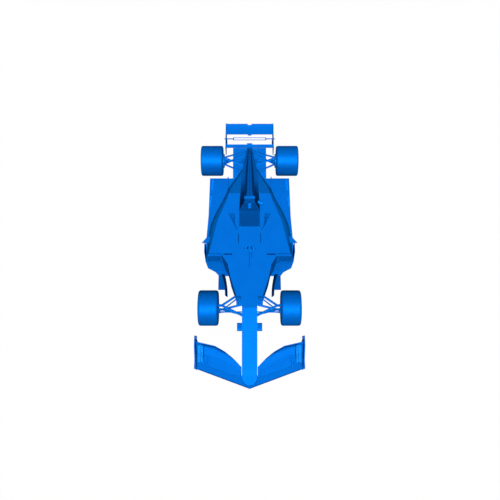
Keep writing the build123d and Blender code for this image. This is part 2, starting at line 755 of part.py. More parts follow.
def front_endplate():
    """Plate that leans outwards, with a foot along its lower edge and a swept tail."""
    plane = endplate_plane()
    middle = front_wing_y / 2 + front_axle_y / 2
    front, rear = endplate_front_y - middle, endplate_rear_y - middle
    low_height, height = endplate_height
    lift_length, lift = endplate_tail_lift
    crest = rear - endplate_tail_rake
    outline = [(front, 0.0), (rear - lift_length, 0.0), (rear, lift), (crest, height),
               (crest - endplate_crest, height), (front + endplate_front_rake, low_height)]
    plate = extrude(plane * make_face(Polyline(*outline, close=True)), endplate_depth)
    inner = front_wing_half + 2
    outer = front_wing_half + endplate_foot
    foot = plan([
        (inner, endplate_front_y), (outer, endplate_front_y + endplate_foot_sweep),
        (outer, endplate_rear_y - lift_length - 9), (inner, endplate_rear_y - lift_length),
    ], endplate_z, endplate_z + endplate_foot_depth)
    return plate + foot


# --- Bodywork ----------------------------------------------------------------------------------
def pod_section(y, top, waist, foot, shoulder):
    """Half body section: floor, tucked-in flank, rounded shoulder, flat top."""
    waist_z = floor_top + (top - floor_top) * waist_share
    bend = math.sqrt(0.5)
    flank = Polyline((0, top), (0, floor_top), (foot, floor_top), (waist, waist_z))
    round_off = ThreePointArc(
        (waist, waist_z),
        (waist - shoulder * (1 - bend), waist_z + (top - waist_z) * bend),
        (waist - shoulder, top))
    roof = Line((waist - shoulder, top), (0, top))
    return Plane(origin=(0, y, 0), x_dir=(1, 0, 0), z_dir=(0, -1, 0)) * make_face([flank, round_off, roof])


def sidepod(neighbours):
    """Left-hand pod: a tapering body, its raked inlet face and a fairing to the cell."""
    body = loft([pod_section(*row) for row in pod_stations], ruled=True)
    body -= profile([
        (pod_front_y - 1, floor_top - 1),
        (pod_front_y, floor_top),
        (inlet_face_y - inlet_undercut, inlet_low_z),
        (inlet_face_y, lip_z),
        (inlet_face_y + lip_depth, lip_z + 2),
        (inlet_face_y + lip_depth + 6, deck_z + 1),
        (pod_front_y - 1, deck_z + 1),
    ], 0, 2 * cell_half + 100)
    body -= block(core_x, (pod_front_y, inlet_face_y + core_recess),
                  (inlet_low_z + core_margin, lip_z - core_margin))
    body += plan(gusset, floor_top, deck_z)
    body -= block((-1, cell_half), (pod_front_y - 200, cell_rear_y), (0, deck_z + 10))
    for other in neighbours:
        body -= other
    return body


def engine_cover(neighbours):
    """Airbox and spine: a tapering hump from the roll hoop to the tail."""
    sections = []
    for y, crown, top, drop, shoulder, base, low in cover_stations:
        belt = min(deck_z, crown - drop - cover_belt_drop)
        half_outline = [(base, low), (base, belt), (shoulder, crown - drop), (top, crown)]
        sections.append(cross_face(both_sides(half_outline), y))
    body = loft(sections, ruled=True)
    for other in neighbours:
        body -= other
    return body


def camera_bar():
    """Camera housing on a stalk above the roll hoop."""
    y, half = camera_bar_y, camera_bar_length / 2
    top_z = camera_bar_z + camera_bar_depth
    bar = block((-camera_bar_half, camera_bar_half), (y - half, y + half), (camera_bar_z, top_z))
    half = camera_stalk_length / 2
    across = (-camera_stalk_half, camera_stalk_half)
    return bar + block(across, (y - half, y + half), (camera_bar_z - camera_stalk_drop, camera_bar_z))


def hoop_pod():
    """Camera pod that stands forward from the top of the roll hoop, its top falling away forwards."""
    front_y = cockpit_rear_y - hoop_pod_length
    drop = hoop_pod_length * math.tan(math.radians(hoop_pod_tilt))
    return profile([
        (cockpit_rear_y, hoop_pod_z),
        (front_y, hoop_pod_z - drop),
        (front_y, hoop_pod_z - drop - hoop_pod_depth / 2),
        (cockpit_rear_y, hoop_pod_z - drop - hoop_pod_depth),
    ], -hoop_pod_half, hoop_pod_half)


def telemetry_pod():
    """Wedge-shaped aerial pod on the deck beside the engine cover."""
    rear_y = telemetry_front_y + telemetry_length
    return profile([
        (telemetry_front_y, deck_z),
        (telemetry_front_y, deck_z + telemetry_lip),
        (rear_y - telemetry_tail, deck_z + telemetry_height),
        (rear_y, deck_z + telemetry_lip),
        (rear_y, deck_z),
    ], *telemetry_x)


def engine():
    return block((-engine_half, engine_half), (cell_rear_y, engine_rear_y), (engine_low_z, engine_top_z))


def gearbox():
    """Casing that tapers to the tail, with the stud for the rear jack."""
    taper = plan(both_sides([
        (gearbox_half, engine_rear_y), (gearbox_half, gearbox_taper_y), (gearbox_tail_half, gearbox_rear_y),
    ]), 0, deck_z)
    casing = profile(gearbox_outline, -gearbox_half, gearbox_half) & taper
    return casing + rod((0, gearbox_rear_y, jack_pin_z), (0, gearbox_rear_y + jack_pin_length, jack_pin_z),
                        jack_pin_radius)


# --- Floor, diffuser and vanes -----------------------------------------------------------------
def floor():
    """Stepped floor board with its plank, and a fence ahead of each rear wheel."""
    plate = plan(both_sides(floor_outline), floor_z, floor_top)
    plate += plan(both_sides(plank_outline), ride_height, floor_z)
    half = floor_fence_depth / 2
    fence = block((floor_fence_x - half, floor_fence_x + half),
                  (floor_rear_y - floor_fence_length, floor_rear_y),
                  (floor_top, floor_top + floor_fence_height))
    for _, hand in SIDES:
        plate += mirrored(fence, hand)
    return plate


def diffuser():
    """Rising tunnel roof with four strakes."""
    rear_z = floor_top + diffuser_rise
    body = profile([
        (floor_rear_y, floor_z),
        (floor_rear_y, floor_top),
        (diffuser_rear_y, rear_z),
        (diffuser_rear_y, rear_z - diffuser_skin),
        (floor_rear_y + 60, floor_z),
    ], -diffuser_half, diffuser_half)
    strake = [
        (floor_rear_y, floor_z),
        (floor_rear_y, floor_top),
        (diffuser_rear_y, rear_z - 2),
        (diffuser_rear_y, floor_z + strake_low),
        (floor_rear_y + 120, floor_z),
    ]
    for x in (strake_x - strake_depth, diffuser_half - strake_depth):
        for _, hand in SIDES:
            body += mirrored(profile(strake, x, x + strake_depth), hand)
    return body


def bargeboard(floor_solid):
    """Curved blade that leans outwards, on a foot plate that runs back to the floor."""
    low = floor_z + blade_gap
    foot = plan(barge_foot_outline, low, low + barge_foot)
    levels = []
    for path, z in ((blade_low_path, low), (blade_top_path, low + blade_height)):
        outer = [(x + blade_depth, y) for x, y in path]
        outline = [ThreePointArc(*path), Line(path[-1], outer[-1]),
                   ThreePointArc(*reversed(outer)), Line(outer[0], path[0])]
        levels.append(Pos(0, 0, z) * make_face(outline))
    return (foot + loft(levels, ruled=True)) - floor_solid


def side_vane(neighbours):
    """Upright vane beside the inlet with a pointed winglet at its head."""
    vane = block((vane_x, vane_x + vane_depth), (vane_front_y, vane_front_y + vane_length),
                 (floor_top, vane_top_z))
    winglet_z = vane_top_z - winglet_drop
    winglet = plan(winglet_outline, winglet_z, winglet_z + winglet_depth)
    body = vane + winglet
    for other in neighbours:
        body -= other
    return body


# --- Suspension --------------------------------------------------------------------------------
def front_suspension(cell, nose_solid):
    """Upper and lower wishbones, the pushrod and its rocker of one front corner."""
    y = front_axle_y
    half = eye_depth / 2
    solids = []
    for ball_z in (upper_ball_z, lower_ball_z):
        wishbone = upright_pin(kingpin_x, y, ball_z - half, ball_z + half, eye_radius)
        wishbone += block((kingpin_x - tongue_reach, kingpin_x), (y - eye_radius, y + eye_radius),
                          (ball_z - half, ball_z + half))
        for height, x, behind, z in front_legs:
            if height == ball_z:
                wishbone += arm((kingpin_x - tongue_reach, y, ball_z), (x, y + behind, z))
        wishbone -= upright_pin(kingpin_x, y, ball_z - half - 1, ball_z + half + 1, pin_radius + fit_gap)
        solids.append(wishbone)
    rocker_x = cell_front_half - rocker_width
    head = (rocker_x + rocker_width / 2, pocket_y, deck_z - 2 * pushrod_radius)
    solids[1] += rod((kingpin_x - tongue_reach - 15, y, lower_ball_z + 4), head, pushrod_radius)
    solids[1] += block((rocker_x, cell_front_half),
                       (pocket_y - rocker_length / 2, pocket_y + rocker_length / 2),
                       (pocket_z, deck_z - 2 * pushrod_radius))
    return Compound([solid - cell - nose_solid for solid in solids])


def rear_upright():
    """Rear upright with its brake drum; the stub axle runs through its bore."""
    inner = rear_tyre_inner_x - rear_upright_plate
    outer = rear_tyre_inner_x + drum_depth
    body = rod((inner, rear_axle_y, rear_tyre_radius), (outer, rear_axle_y, rear_tyre_radius), drum_radius)
    return body - rod((inner - 1, rear_axle_y, rear_tyre_radius), (outer + 1, rear_axle_y, rear_tyre_radius),
                      shaft_radius + fit_gap)


def rear_suspension(neighbours):
    """Upper and lower wishbones of one rear corner."""
    solids = []
    for ball_z in (rear_upper_z, rear_lower_z):
        pair = None
        for height, x, behind, z in rear_legs:
            if height == ball_z:
                leg = arm((rear_ball_x, rear_axle_y, ball_z), (x, rear_axle_y + behind, z))
                pair = leg if pair is None else pair + leg
        for other in neighbours:
            pair -= other
        solids.append(pair)
    return Compound(solids)


def drive_shaft():
    """Half shaft from the gearbox to the bottom of the hub's bore."""
    end_x = hub_bottom(rear_tyre_inner_x, rear_tyre_width)
    start = (gearbox_half + 2, rear_axle_y, rear_tyre_radius)
    return rod(start, (end_x, rear_axle_y, rear_tyre_radius), shaft_radius)


# --- Rear wing ---------------------------------------------------------------------------------
def wing_element(lead, trail, camber, skin):
    """Aerofoil between the endplates, from its leading and trailing points (Y, Z)."""
    y, z = (lead[0] + trail[0]) / 2, (lead[1] + trail[1]) / 2 - camber
    lead_low = (lead[0], lead[1] - lead_depth)
    trail_low = (trail[0], trail[1] - edge_depth)
    outline = [
        ThreePointArc(lead, (y, z), trail), Line(trail, trail_low),
        ThreePointArc(trail_low, (y, z - skin), lead_low), Line(lead_low, lead)]
    half = wing_half - wing_plate / 2
    return extrude(Plane.YZ.offset(-half) * make_face(outline), 2 * half)


def rear_flap():
    """Rear flap with a notch in its trailing edge and a tab on its leading edge."""
    lead_y = wing_rear_y - flap_chord
    trail = (wing_rear_y, flap_front_z + flap_rise)
    flap = wing_element((lead_y, flap_front_z), trail, flap_camber, rear_flap_skin)
    across = (-flap_notch_half, flap_notch_half)
    flap -= block(across, (wing_rear_y - flap_notch_depth, wing_rear_y + 1),
                  (flap_front_z, flap_front_z + flap_rise + 1))
    along = (lead_y - flap_tab_depth, lead_y + flap_tab_depth / 4)
    return flap + block(across, along, (flap_front_z - lead_depth, flap_front_z))


def rear_endplate():
    inner = wing_half - wing_plate / 2
    return profile([
        (wing_front_y, wing_plate_low_z),
        (wing_rear_y - wing_plate_cut[0], wing_plate_low_z),
        (wing_rear_y, wing_plate_low_z + wing_plate_cut[1]),
        (wing_rear_y, wing_plate_top_z),
        (wing_rear_y - flap_chord, wing_plate_top_z),
        (wing_front_y, wing_plate_front_z),
    ], inner, inner + wing_plate)


def wing_rods():
    """Two cross rods, joined at each end by a bracket to the endplate."""
    inner = wing_half - wing_plate / 2
    body = None
    for y in wing_rod_y:
        bar = rod((-wing_rod_half, y, wing_rod_z), (wing_rod_half, y, wing_rod_z), wing_rod_radius)
        body = bar if body is None else body + bar
    middle = sum(wing_rod_y) / 2
    length, depth = wing_bracket
    level = (wing_rod_z - depth / 2, wing_rod_z + depth / 2)
    link = block((wing_rod_half - length, wing_rod_half), wing_rod_y, level)
    link += block((wing_rod_half - 1, inner), (middle - length / 2, middle + length / 2), level)
    for _, hand in SIDES:
        body += mirrored(link, hand)
    return body


def wing_pylon(neighbours):
    """Central blade that carries the wing on the gearbox, with a block behind the slat."""
    body = profile(pylon_outline, -pylon_depth / 2, pylon_depth / 2)
    rear_y = wing_front_y + slat_chord + 36
    body += block((-pylon_block_half, pylon_block_half), (rear_y - 40, rear_y), (slat_z - 40, slat_z - 4))
    for other in neighbours:
        body -= other
    return body


slat_lead = (wing_front_y, slat_z - slat_rise / 2)
slat_trail = (wing_front_y + slat_chord, slat_z + slat_rise / 2)

parts = {}
parts["monocoque"] = monocoque()
parts["nose"] = nose()
parts["nose_cameras"] = Compound([mirrored(nose_camera(), side) for _, side in SIDES])
parts["front_wing_main"] = front_wing_main() - parts["nose"]
parts["engine"] = engine()
parts["gearbox"] = gearbox()
parts["engine_cover"] = engine_cover((parts["monocoque"], parts["engine"], parts["gearbox"]))
parts["camera_bar"] = camera_bar() - parts["engine_cover"]
parts["hoop_pod"] = hoop_pod()
parts["telemetry_pod"] = telemetry_pod() - parts["engine_cover"]
parts["floor"] = floor()
parts["diffuser"] = diffuser()
parts["seat"] = seat()
parts["steering_wheel"] = steering_wheel()
parts["steering_rack"] = steering_rack()
parts["rear_wing_slat"] = wing_element(slat_lead, slat_trail, slat_camber, slat_skin)
parts["rear_wing_flap"] = rear_flap()
parts["rear_wing_rods"] = wing_rods()
parts["rear_wing_pylon"] = wing_pylon((parts["engine_cover"], parts["gearbox"], parts["rear_wing_slat"]))

pod = sidepod([parts[name] for name in ("monocoque", "engine_cover", "engine", "gearbox", "diffuser")])
vane = side_vane((pod, parts["floor"]))
parts["side_vanes"] = Compound([mirrored(vane, side) for _, side in SIDES])
one_side = {
    "sidepod": pod,
    "front_flap": front_flap() - parts["front_wing_main"],
    "front_endplate": front_endplate(),
    "bargeboard": bargeboard(parts["floor"]),
    "front_suspension": front_suspension(parts["monocoque"], parts["nose"]),
    "knuckle_front": knuckle_front(),
    "rear_upright": rear_upright(),
    "rear_suspension": rear_suspension((rear_upright(), parts["engine_cover"], parts["gearbox"], pod)),
    "drive_shaft": drive_shaft(),
    "rear_endplate": rear_endplate(),
    "rim_front": rim(front_tyre_inner_x, front_tyre_width, front_axle_y, front_tyre_radius,
                     spindle_radius + fit_gap),
    "tyre_front": tyre(front_tyre_inner_x, front_tyre_width, front_tyre_radius, front_shoulder,
                       front_axle_y),
    "rim_rear": rim(rear_tyre_inner_x, rear_tyre_width, rear_axle_y, rear_tyre_radius, shaft_radius),
    "tyre_rear": tyre(rear_tyre_inner_x, rear_tyre_width, rear_tyre_radius, rear_shoulder, rear_axle_y),
}
for name, solid in one_side.items():
    for side_name, side in SIDES:
        parts[f"{name}_{side_name}"] = mirrored(solid, side)

for name, solid in parts.items():
    export_step(solid, f"parts/{name}.step")
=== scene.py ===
import json
import math

import bmesh
import bpy
from mathutils import Matrix, Vector
from mathutils.bvhtree import BVHTree


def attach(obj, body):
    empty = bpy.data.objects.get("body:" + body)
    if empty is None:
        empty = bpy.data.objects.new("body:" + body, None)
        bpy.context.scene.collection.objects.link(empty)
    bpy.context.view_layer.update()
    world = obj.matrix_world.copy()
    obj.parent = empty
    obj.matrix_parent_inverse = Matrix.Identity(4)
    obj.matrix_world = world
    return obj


# Open wheel racing car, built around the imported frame. Metres: +X is the driver's left,
# -Y is forward, +Z is up, and the ground is at zero. The fitted details are in millimetres.

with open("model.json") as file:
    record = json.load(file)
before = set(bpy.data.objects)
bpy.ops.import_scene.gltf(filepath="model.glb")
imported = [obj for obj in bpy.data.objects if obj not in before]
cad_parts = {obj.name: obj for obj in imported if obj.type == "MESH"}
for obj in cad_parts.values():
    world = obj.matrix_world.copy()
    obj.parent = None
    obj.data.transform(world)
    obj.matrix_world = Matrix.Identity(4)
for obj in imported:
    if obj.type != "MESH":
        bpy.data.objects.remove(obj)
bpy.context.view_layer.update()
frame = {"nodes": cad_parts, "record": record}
nodes = frame["nodes"]
mm = 0.001
upright = Vector((0, 0, 1))
down = (0, 0, -1)
sides = ((1, "left"), (-1, "right"))       # sign of X and the name of each side
print("frame loaded,", len(nodes), "pieces")

# tints of the one blue that the whole car wears, among them painted shade and a painted highlight; each
# Low one the shade that its mottle drifts to
blueTints = {
    "paint": "#0472DE", "paintLow": "#036FDA",
    "podSlopeShade": "#0361B6",             # painted shade where the pods fall off
    # the next is the paint darkened as painted shade, for the airbox, boards, fins and inner skins
    "cover": "#035EBC", "coverLow": "#035CB8",
    "coverFlankShade": "#023A7A",           # painted shade on the airbox's flanks
    # the next is painted shade, for slots, grooves, seams and dark trims
    "slotShade": "#02428C", "slotShadeLow": "#024088",
    # the next is a painted highlight, for the wing pads and the aerial boot
    "bright": "#1490F8", "brightLow": "#118AF2",
    "wing": "#0472DE",
    "floor": "#0472E0", "floorLow": "#036FDA",
    "rubber": "#0366C4", "rubberLow": "#0362BE",
    "metal": "#046ED8",
    "casting": "#0466C8",
    # the next is darker than the paint, so that it also paints shade into the cockpit
    "trim": "#035CB8",
    "edge": "#0A4E9C",                 # what the paint sends back at a glancing angle
    "spent": "#001838",                # what light carries on after its first bounce
}
sheen = {
    "flake": 0.11,                     # share of metal flake in the paint
    "rubber": 0.5,                     # the same for the dressing on the tyres
    "fade": (0.15, 0.45),              # the flake is lost between these facings, 0 being face on
}
mixFirst, mixSecond, mixResult = 6, 7, 2       # colour sockets of a Mix node, which share their names


def linear(hexColour):
    # one sRGB hex value as linear red, green, blue and alpha
    shares = [int(hexColour[i:i + 2], 16) / 255 for i in (1, 3, 5)]
    return [s / 12.92 if s <= 0.04045 else ((s + 0.055) / 1.055) ** 2.4 for s in shares] + [1.0]


def addNode(tree, kind, links=(), sockets=None, **settings):
    # a node with its settings, its socket values and its links, each (socket, other node, output)
    made = tree.nodes.new(kind)
    for key, value in settings.items():
        setattr(made, key, value)
    for key, value in (sockets or {}).items():
        made.inputs[key].default_value = value
    for key, other, output in links:
        tree.links.new(other.outputs[output], made.inputs[key])
    return made


def newMaterial(name):
    material = bpy.data.materials.new(name)
    material.use_nodes = True
    material.node_tree.nodes.clear()
    return material, material.node_tree


def mottle(tree, light, dark, grain, span=(0.35, 0.65)):
    # two close shades of one colour, mixed by a noise whose grain is in millimetres
    place = addNode(tree, "ShaderNodeTexCoord")
    noise = addNode(tree, "ShaderNodeTexNoise", links=[("Vector", place, "Object")],
                    sockets={"Scale": 1 / (grain * mm), "Detail": 2.0})
    shades = addNode(tree, "ShaderNodeValToRGB", links=[("Fac", noise, "Fac")])
    for stop, position, shade in zip(shades.color_ramp.elements, span, (dark, light)):
        stop.position = position
        stop.color = linear(shade)
    return shades, "Color"


def relief(tree, grain, detail, strength, depth):
    # a fine bump whose grain and depth are in millimetres
    place = addNode(tree, "ShaderNodeTexCoord")
    noise = addNode(tree, "ShaderNodeTexNoise", links=[("Vector", place, "Object")],
                    sockets={"Scale": 1 / (grain * mm), "Detail": detail})
    return addNode(tree, "ShaderNodeBump", links=[("Height", noise, "Fac")],
                   sockets={"Strength": strength, "Distance": depth * mm})


def paintShine(roughness, ior=1.5):
    # the highlight comes from the flake alone and turns to the edge tint at a glancing angle
    return {"Roughness": roughness, "Specular IOR Level": 0.0,
            "Specular Tint": linear(blueTints["edge"]), "IOR": ior}


def finishMaterial(tree, tint, shine, pattern=None, bump=None, flake=0):
    # the shader with its constants on its own sockets, and the output
    # light that has already left one panel is damped, so that neighbours don't tint each other
    path = addNode(tree, "ShaderNodeLightPath")
    shades = [(mixFirst, *pattern)] if pattern else []
    damp = addNode(tree, "ShaderNodeMix", data_type="RGBA",
                   links=[("Factor", path, "Is Diffuse Ray"), *shades],
                   sockets={mixFirst: linear(tint), mixSecond: linear(blueTints["spent"])})
    links = [("Base Color", damp, mixResult)]
    if flake:
        # flake lies flat in the paint, so it shines face on and is lost at a glancing angle
        facing = addNode(tree, "ShaderNodeLayerWeight", sockets={"Blend": 0.5})
        fade = addNode(tree, "ShaderNodeMapRange", links=[("Value", facing, "Facing")],
                       sockets={"From Min": sheen["fade"][0], "From Max": sheen["fade"][1],
                                "To Min": flake, "To Max": 0.0})
        links.append(("Metallic", fade, "Result"))
    if bump:
        links.append(("Normal", bump, "Normal"))
    shader = addNode(tree, "ShaderNodeBsdfPrincipled", links=links,
                     sockets={"Base Color": linear(tint), **shine})
    addNode(tree, "ShaderNodeOutputMaterial", links=[("Surface", shader, "BSDF")])


# painted shade by how far a face leans, as parts of its direction: none of the darker tint up to the
# first, all of it from the last
leans = {
    "sideways": (0.58, 0.82),
    "level": (0.955, 0.995),           # the other way round: all of it below, none on level faces
    "rearward": (-0.25, -0.05),        # keeps it off the faces that look forward
}


def splitNormal(tree):
    # the parts of the surface's direction along X, Y and Z
    surface = addNode(tree, "ShaderNodeNewGeometry")
    return addNode(tree, "ShaderNodeSeparateXYZ", links=[("Vector", surface, "Normal")])


def flankLean(tree):
    # 1 on faces that look sideways, 0 on the rest: where the painted shade goes on the flanks
    low, high = leans["sideways"]
    sideways = addNode(tree, "ShaderNodeMath", operation="ABSOLUTE",
                       links=[(0, splitNormal(tree), "X")])
    return addNode(tree, "ShaderNodeMapRange", links=[("Value", sideways, "Value")],
                   sockets={"From Min": low, "From Max": high})


def slopeLean(tree):
    # 1 on faces that slope off outwards or to the rear, 0 on level ones and on the front: where the
    # painted shade goes on the pods
    parts = splitNormal(tree)
    low, high = leans["level"]
    slope = addNode(tree, "ShaderNodeMapRange", links=[("Value", parts, "Z")],
                    sockets={"From Min": low, "From Max": high, "To Min": 1.0, "To Max": 0.0})
    low, high = leans["rearward"]
    rearward = addNode(tree, "ShaderNodeMapRange", links=[("Value", parts, "Y")],
                       sockets={"From Min": low, "From Max": high})
    return addNode(tree, "ShaderNodeMath", operation="MULTIPLY",
                   links=[(0, slope, "Result"), (1, rearward, "Result")])


def satinEnamel(name, shade, paintedShadeTint=None, lean=None):
    # sprayed satin enamel over moulded laminate: a broad soft highlight tinted by its blue pigment
    material, tree = newMaterial(name)
    coat = mottle(tree, blueTints[shade], blueTints[shade + "Low"], grain=260)
    if lean:
        # painted shade: a darker tint mixed in where the panel turns away from the light
        shadedCoat = addNode(tree, "ShaderNodeMix", data_type="RGBA",
                         links=[("Factor", lean(tree), 0), (mixFirst, *coat)],
                         sockets={mixSecond: linear(blueTints[paintedShadeTint])})
        coat = (shadedCoat, mixResult)
    peel = relief(tree, grain=9, detail=1.0, strength=0.02, depth=0.2)     # orange peel, very shallow
    finishMaterial(tree, blueTints[shade], paintShine(roughness=0.4), coat, peel, sheen["flake"])
    return material


def wingEnamel():
    # the same enamel rubbed down on the wing skins: no orange peel, so an even sheen
    material, tree = newMaterial("wingEnamel")
    coat = mottle(tree, blueTints["wing"], blueTints["paintLow"], grain=180)
    finishMaterial(tree, blueTints["wing"], paintShine(roughness=0.4), coat, None, sheen["flake"])
    return material


def slickRubber():
    # moulded slick rubber, dyed blue and dressed: a soft wide sheen over a fine scuffed grain
    material, tree = newMaterial("slickRubber")
    coat = mottle(tree, blueTints["rubber"], blueTints["rubberLow"], grain=60)
    # 4 mm scuffs, coarser than real so that they show
    scuffs = relief(tree, grain=4, detail=3.0, strength=0.12, depth=0.4)
    finishMaterial(tree, blueTints["rubber"], paintShine(roughness=0.56, ior=1.52), coat, scuffs,
                   sheen["rubber"])
    return material


def anodisedAlloy():
    # blue anodised magnesium wheel: metal under a clear dyed oxide, with a turned sheen
    material, tree = newMaterial("anodisedAlloy")
    coat = mottle(tree, blueTints["metal"], blueTints["paintLow"], grain=40)
    finishMaterial(tree, blueTints["metal"], {"Roughness": 0.4, "Metallic": 0.6}, coat)
    return material


def paintedLaminate():
    # floor board of pressed laminate under thin blue paint: flatter than the bodywork
    material, tree = newMaterial("paintedLaminate")
    coat = mottle(tree, blueTints["floor"], blueTints["floorLow"], grain=120)
    weave = relief(tree, grain=6, detail=1.0, strength=0.05, depth=0.2)    # its weave shows through
    finishMaterial(tree, blueTints["floor"], paintShine(roughness=0.45), coat, weave, sheen["flake"])
    return material


def powderCoat():
    # baked powder coat on steel and titanium links: even, slightly textured, semi-gloss
    material, tree = newMaterial("powderCoat")
    powder = relief(tree, grain=2.5, detail=2.0, strength=0.08, depth=0.15)
    finishMaterial(tree, blueTints["paint"], paintShine(roughness=0.42), None, powder, sheen["flake"])
    return material


def paintedCasting():
    # sand-cast alloy under engine paint: a pebbled skin
    material, tree = newMaterial("paintedCasting")
    sand = relief(tree, grain=5, detail=3.0, strength=0.25, depth=0.5)
    finishMaterial(tree, blueTints["casting"], paintShine(roughness=0.55), None, sand, sheen["flake"])
    return material


def mouldedTrim():
    # moulded blue plastic of the seat shell, pads and grips: matt and even, its tint darker than the
    # paint as painted shade
    material, tree = newMaterial("mouldedTrim")
    coat = mottle(tree, blueTints["trim"], blueTints["trim"], grain=90)
    finishMaterial(tree, blueTints["trim"],
                   {"Roughness": 0.62, "Specular IOR Level": 0.0, "IOR": 1.46}, coat)
    return material


trimPlastic = mouldedTrim()
finishes = {
    "body_paint": satinEnamel("satinEnamel", "paint"),
    "wing_paint": wingEnamel(),
    "floor_composite": paintedLaminate(),
    "tyre_rubber": slickRubber(),
    "wheel_metal": anodisedAlloy(),
    "link_coating": powderCoat(),
    "cast_metal": paintedCasting(),
    "seat_trim": trimPlastic,
    "grip_plastic": trimPlastic,
}
paintedShadeEnamel = satinEnamel("paintedShadeEnamel", "cover")            # darker copy of the paint: painted shade on boards, fins and inner skins
# painted shade: darker paint on the airbox, darkest on its flanks
flankShadeEnamel = satinEnamel("flankShadeEnamel", "cover", "coverFlankShade", flankLean)
# painted shade where the pods fall off
podShadeEnamel = satinEnamel("podShadeEnamel", "paint", "podSlopeShade", slopeLean)
slotShadeEnamel = satinEnamel("ductShade", "slotShade")              # painted shade: dark paint in slots, grooves and seams and on dark trims
highlightEnamel = satinEnamel("highlightEnamel", "bright")       # painted highlight: lighter paint on the wing pads and the boot
# these pieces take a painted shade copy of their paint
paintedShadeFinishes = {"engine_cover": flankShadeEnamel, "bargeboard_left": paintedShadeEnamel, "bargeboard_right": paintedShadeEnamel,
         "sidepod_left": podShadeEnamel, "sidepod_right": podShadeEnamel}
for part in frame["record"]["subparts"]:
    mesh = nodes[part["node"]].data
    mesh.materials.clear()
    mesh.materials.append(paintedShadeFinishes.get(part["node"], finishes[part["material_slot"]]))


def at(x, y, z):
    return Vector((x, y, z)) * mm


searchTrees = {}


def castOn(nodeName, start, heading):
    # where a straight line first meets a piece of bodywork, with the surface's direction there
    if nodeName not in searchTrees:
        body = nodes[nodeName]
        searchTrees[nodeName] = BVHTree.FromPolygons(
            [body.matrix_world @ vertex.co for vertex in body.data.vertices],
            [list(face.vertices) for face in body.data.polygons])
    return searchTrees[nodeName].ray_cast(start, Vector(heading))[:2]


def joinRings(form, rings, closed):
    # walls between rings of equally many corners; closed joins last to first, else both are capped
    corners = len(rings[0])
    for near, far in list(zip(rings, rings[1:])) + ([(rings[-1], rings[0])] if closed else []):
        for j in range(corners):
            form.faces.new((near[j], near[(j + 1) % corners], far[(j + 1) % corners], far[j]))
    if not closed:
        form.faces.new(rings[0])
        form.faces.new(rings[-1])


def addSweep(form, points, ups, section):
    # a section of (across, up) corners carried along points
    rings = []
    for index, point in enumerate(points):
        along = (points[min(index + 1, len(points) - 1)] - points[max(index - 1, 0)]).normalized()
        across = along.cross(ups[index]).normalized()
        up = across.cross(along)
        rings.append([form.verts.new(point + (across * a + up * u) * mm) for a, u in section])
    joinRings(form, rings, False)


def addTurned(form, centre, axis, outline, steps, closed=False):
    # a turned form from (along, radius) points about an axis
    axis = Vector(axis).normalized()
    side = axis.orthogonal().normalized()
    other = axis.cross(side)
    turns = [2 * math.pi * step / steps for step in range(steps)]
    ways = [side * math.cos(turn) + other * math.sin(turn) for turn in turns]
    rings = [[form.verts.new(centre + (axis * along + way * radius) * mm) for way in ways]
             for along, radius in outline]
    joinRings(form, rings, closed)


def addBlock(form, centre, size, chamfer, turn=None):
    # a block with every edge chamfered, made apart so that every run numbers the form's corners alike
    place = Matrix.Translation(centre) @ (turn or Matrix.Identity(4))
    scale = Matrix.Diagonal((*[length * mm for length in size], 1))
    block = bmesh.new()
    bmesh.ops.create_cube(block, size=1, matrix=place @ scale)
    bmesh.ops.bevel(block, geom=block.edges[:], offset=chamfer * mm, segments=1, affect="EDGES")
    mesh = bpy.data.meshes.new("block")
    block.to_mesh(mesh)
    block.free()
    form.from_mesh(mesh)
    bpy.data.meshes.remove(mesh)


def finishPiece(name, form, slot, body="chassis", finish=None, smoothBelow=None):
    # the form becomes a named piece that rides on its body
    bmesh.ops.recalc_face_normals(form, faces=form.faces[:])
    mesh = bpy.data.meshes.new(name)
    form.to_mesh(mesh)
    form.free()
    mesh.materials.append(finish or finishes[slot])
    if smoothBelow:
        mesh.shade_smooth()
        mesh.set_sharp_from_angle(angle=math.radians(smoothBelow))
    piece = bpy.data.objects.new(name, mesh)
    bpy.context.scene.collection.objects.link(piece)
    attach(piece, body)


def bead(width, rise, sink=2.0):
    # section of a low flat-topped bead, let into the surface by its sink
    half, top = width / 2, width / 2 - min(rise, width / 4)
    return [(-half, -sink), (half, -sink), (half, 0), (top, rise), (-top, rise), (-half, 0)]


def addStrip(form, start, end, section):
    # a straight bead that faces up
    addSweep(form, [start, end], [upright, upright], section)


def layBead(form, nodeName, corners, section, heading=down, spacing=40, reach=2000):
    # a bead laid on the bodywork under a path of (x, y, z) corners, looking along heading
    points, ups = [], []
    for start, end in zip(corners, corners[1:]):
        steps = max(1, round((Vector(end) - Vector(start)).length / spacing))
        for step in range(steps + (end is corners[-1])):
            spot = Vector(start).lerp(Vector(end), step / steps)
            place, normal = castOn(nodeName, (spot - Vector(heading) * reach) * mm, heading)
            if place is not None:
                points.append(place)
                ups.append(normal)
    if len(points) > 1:
        addSweep(form, points, ups, section)


deck = {
    "height": 590,
    "gillFrame": (22, 2.2),                        # width, rise
    "gillSlot": (15, 3.0),
    "gillPoint": (236, 292),                       # x, y where the fan's slots run together
    "gillTails": (405, 372, 339, 306),             # x of the slots' rear ends
    "gillRearY": 657,
    "gillLengths": (1.0, 0.72, 0.52, 0.36),        # how much of the way to the point
    "slotX": (326, 488),
    "slotY": -230,
    "slotFrame": (42, 2.2),
    "slotMouth": (36, 3.0),
    "drain": (209, 3, 211, 588),                   # x, first y, last y, z, ahead of the cockpit
    "drainBead": (15, 1.0),
    "lid": (209, 211, 363, 590),                   # flush, from the drain to the cockpit
    "lidBead": (13.6, 0.4, 12),                    # width, rise, sink
}


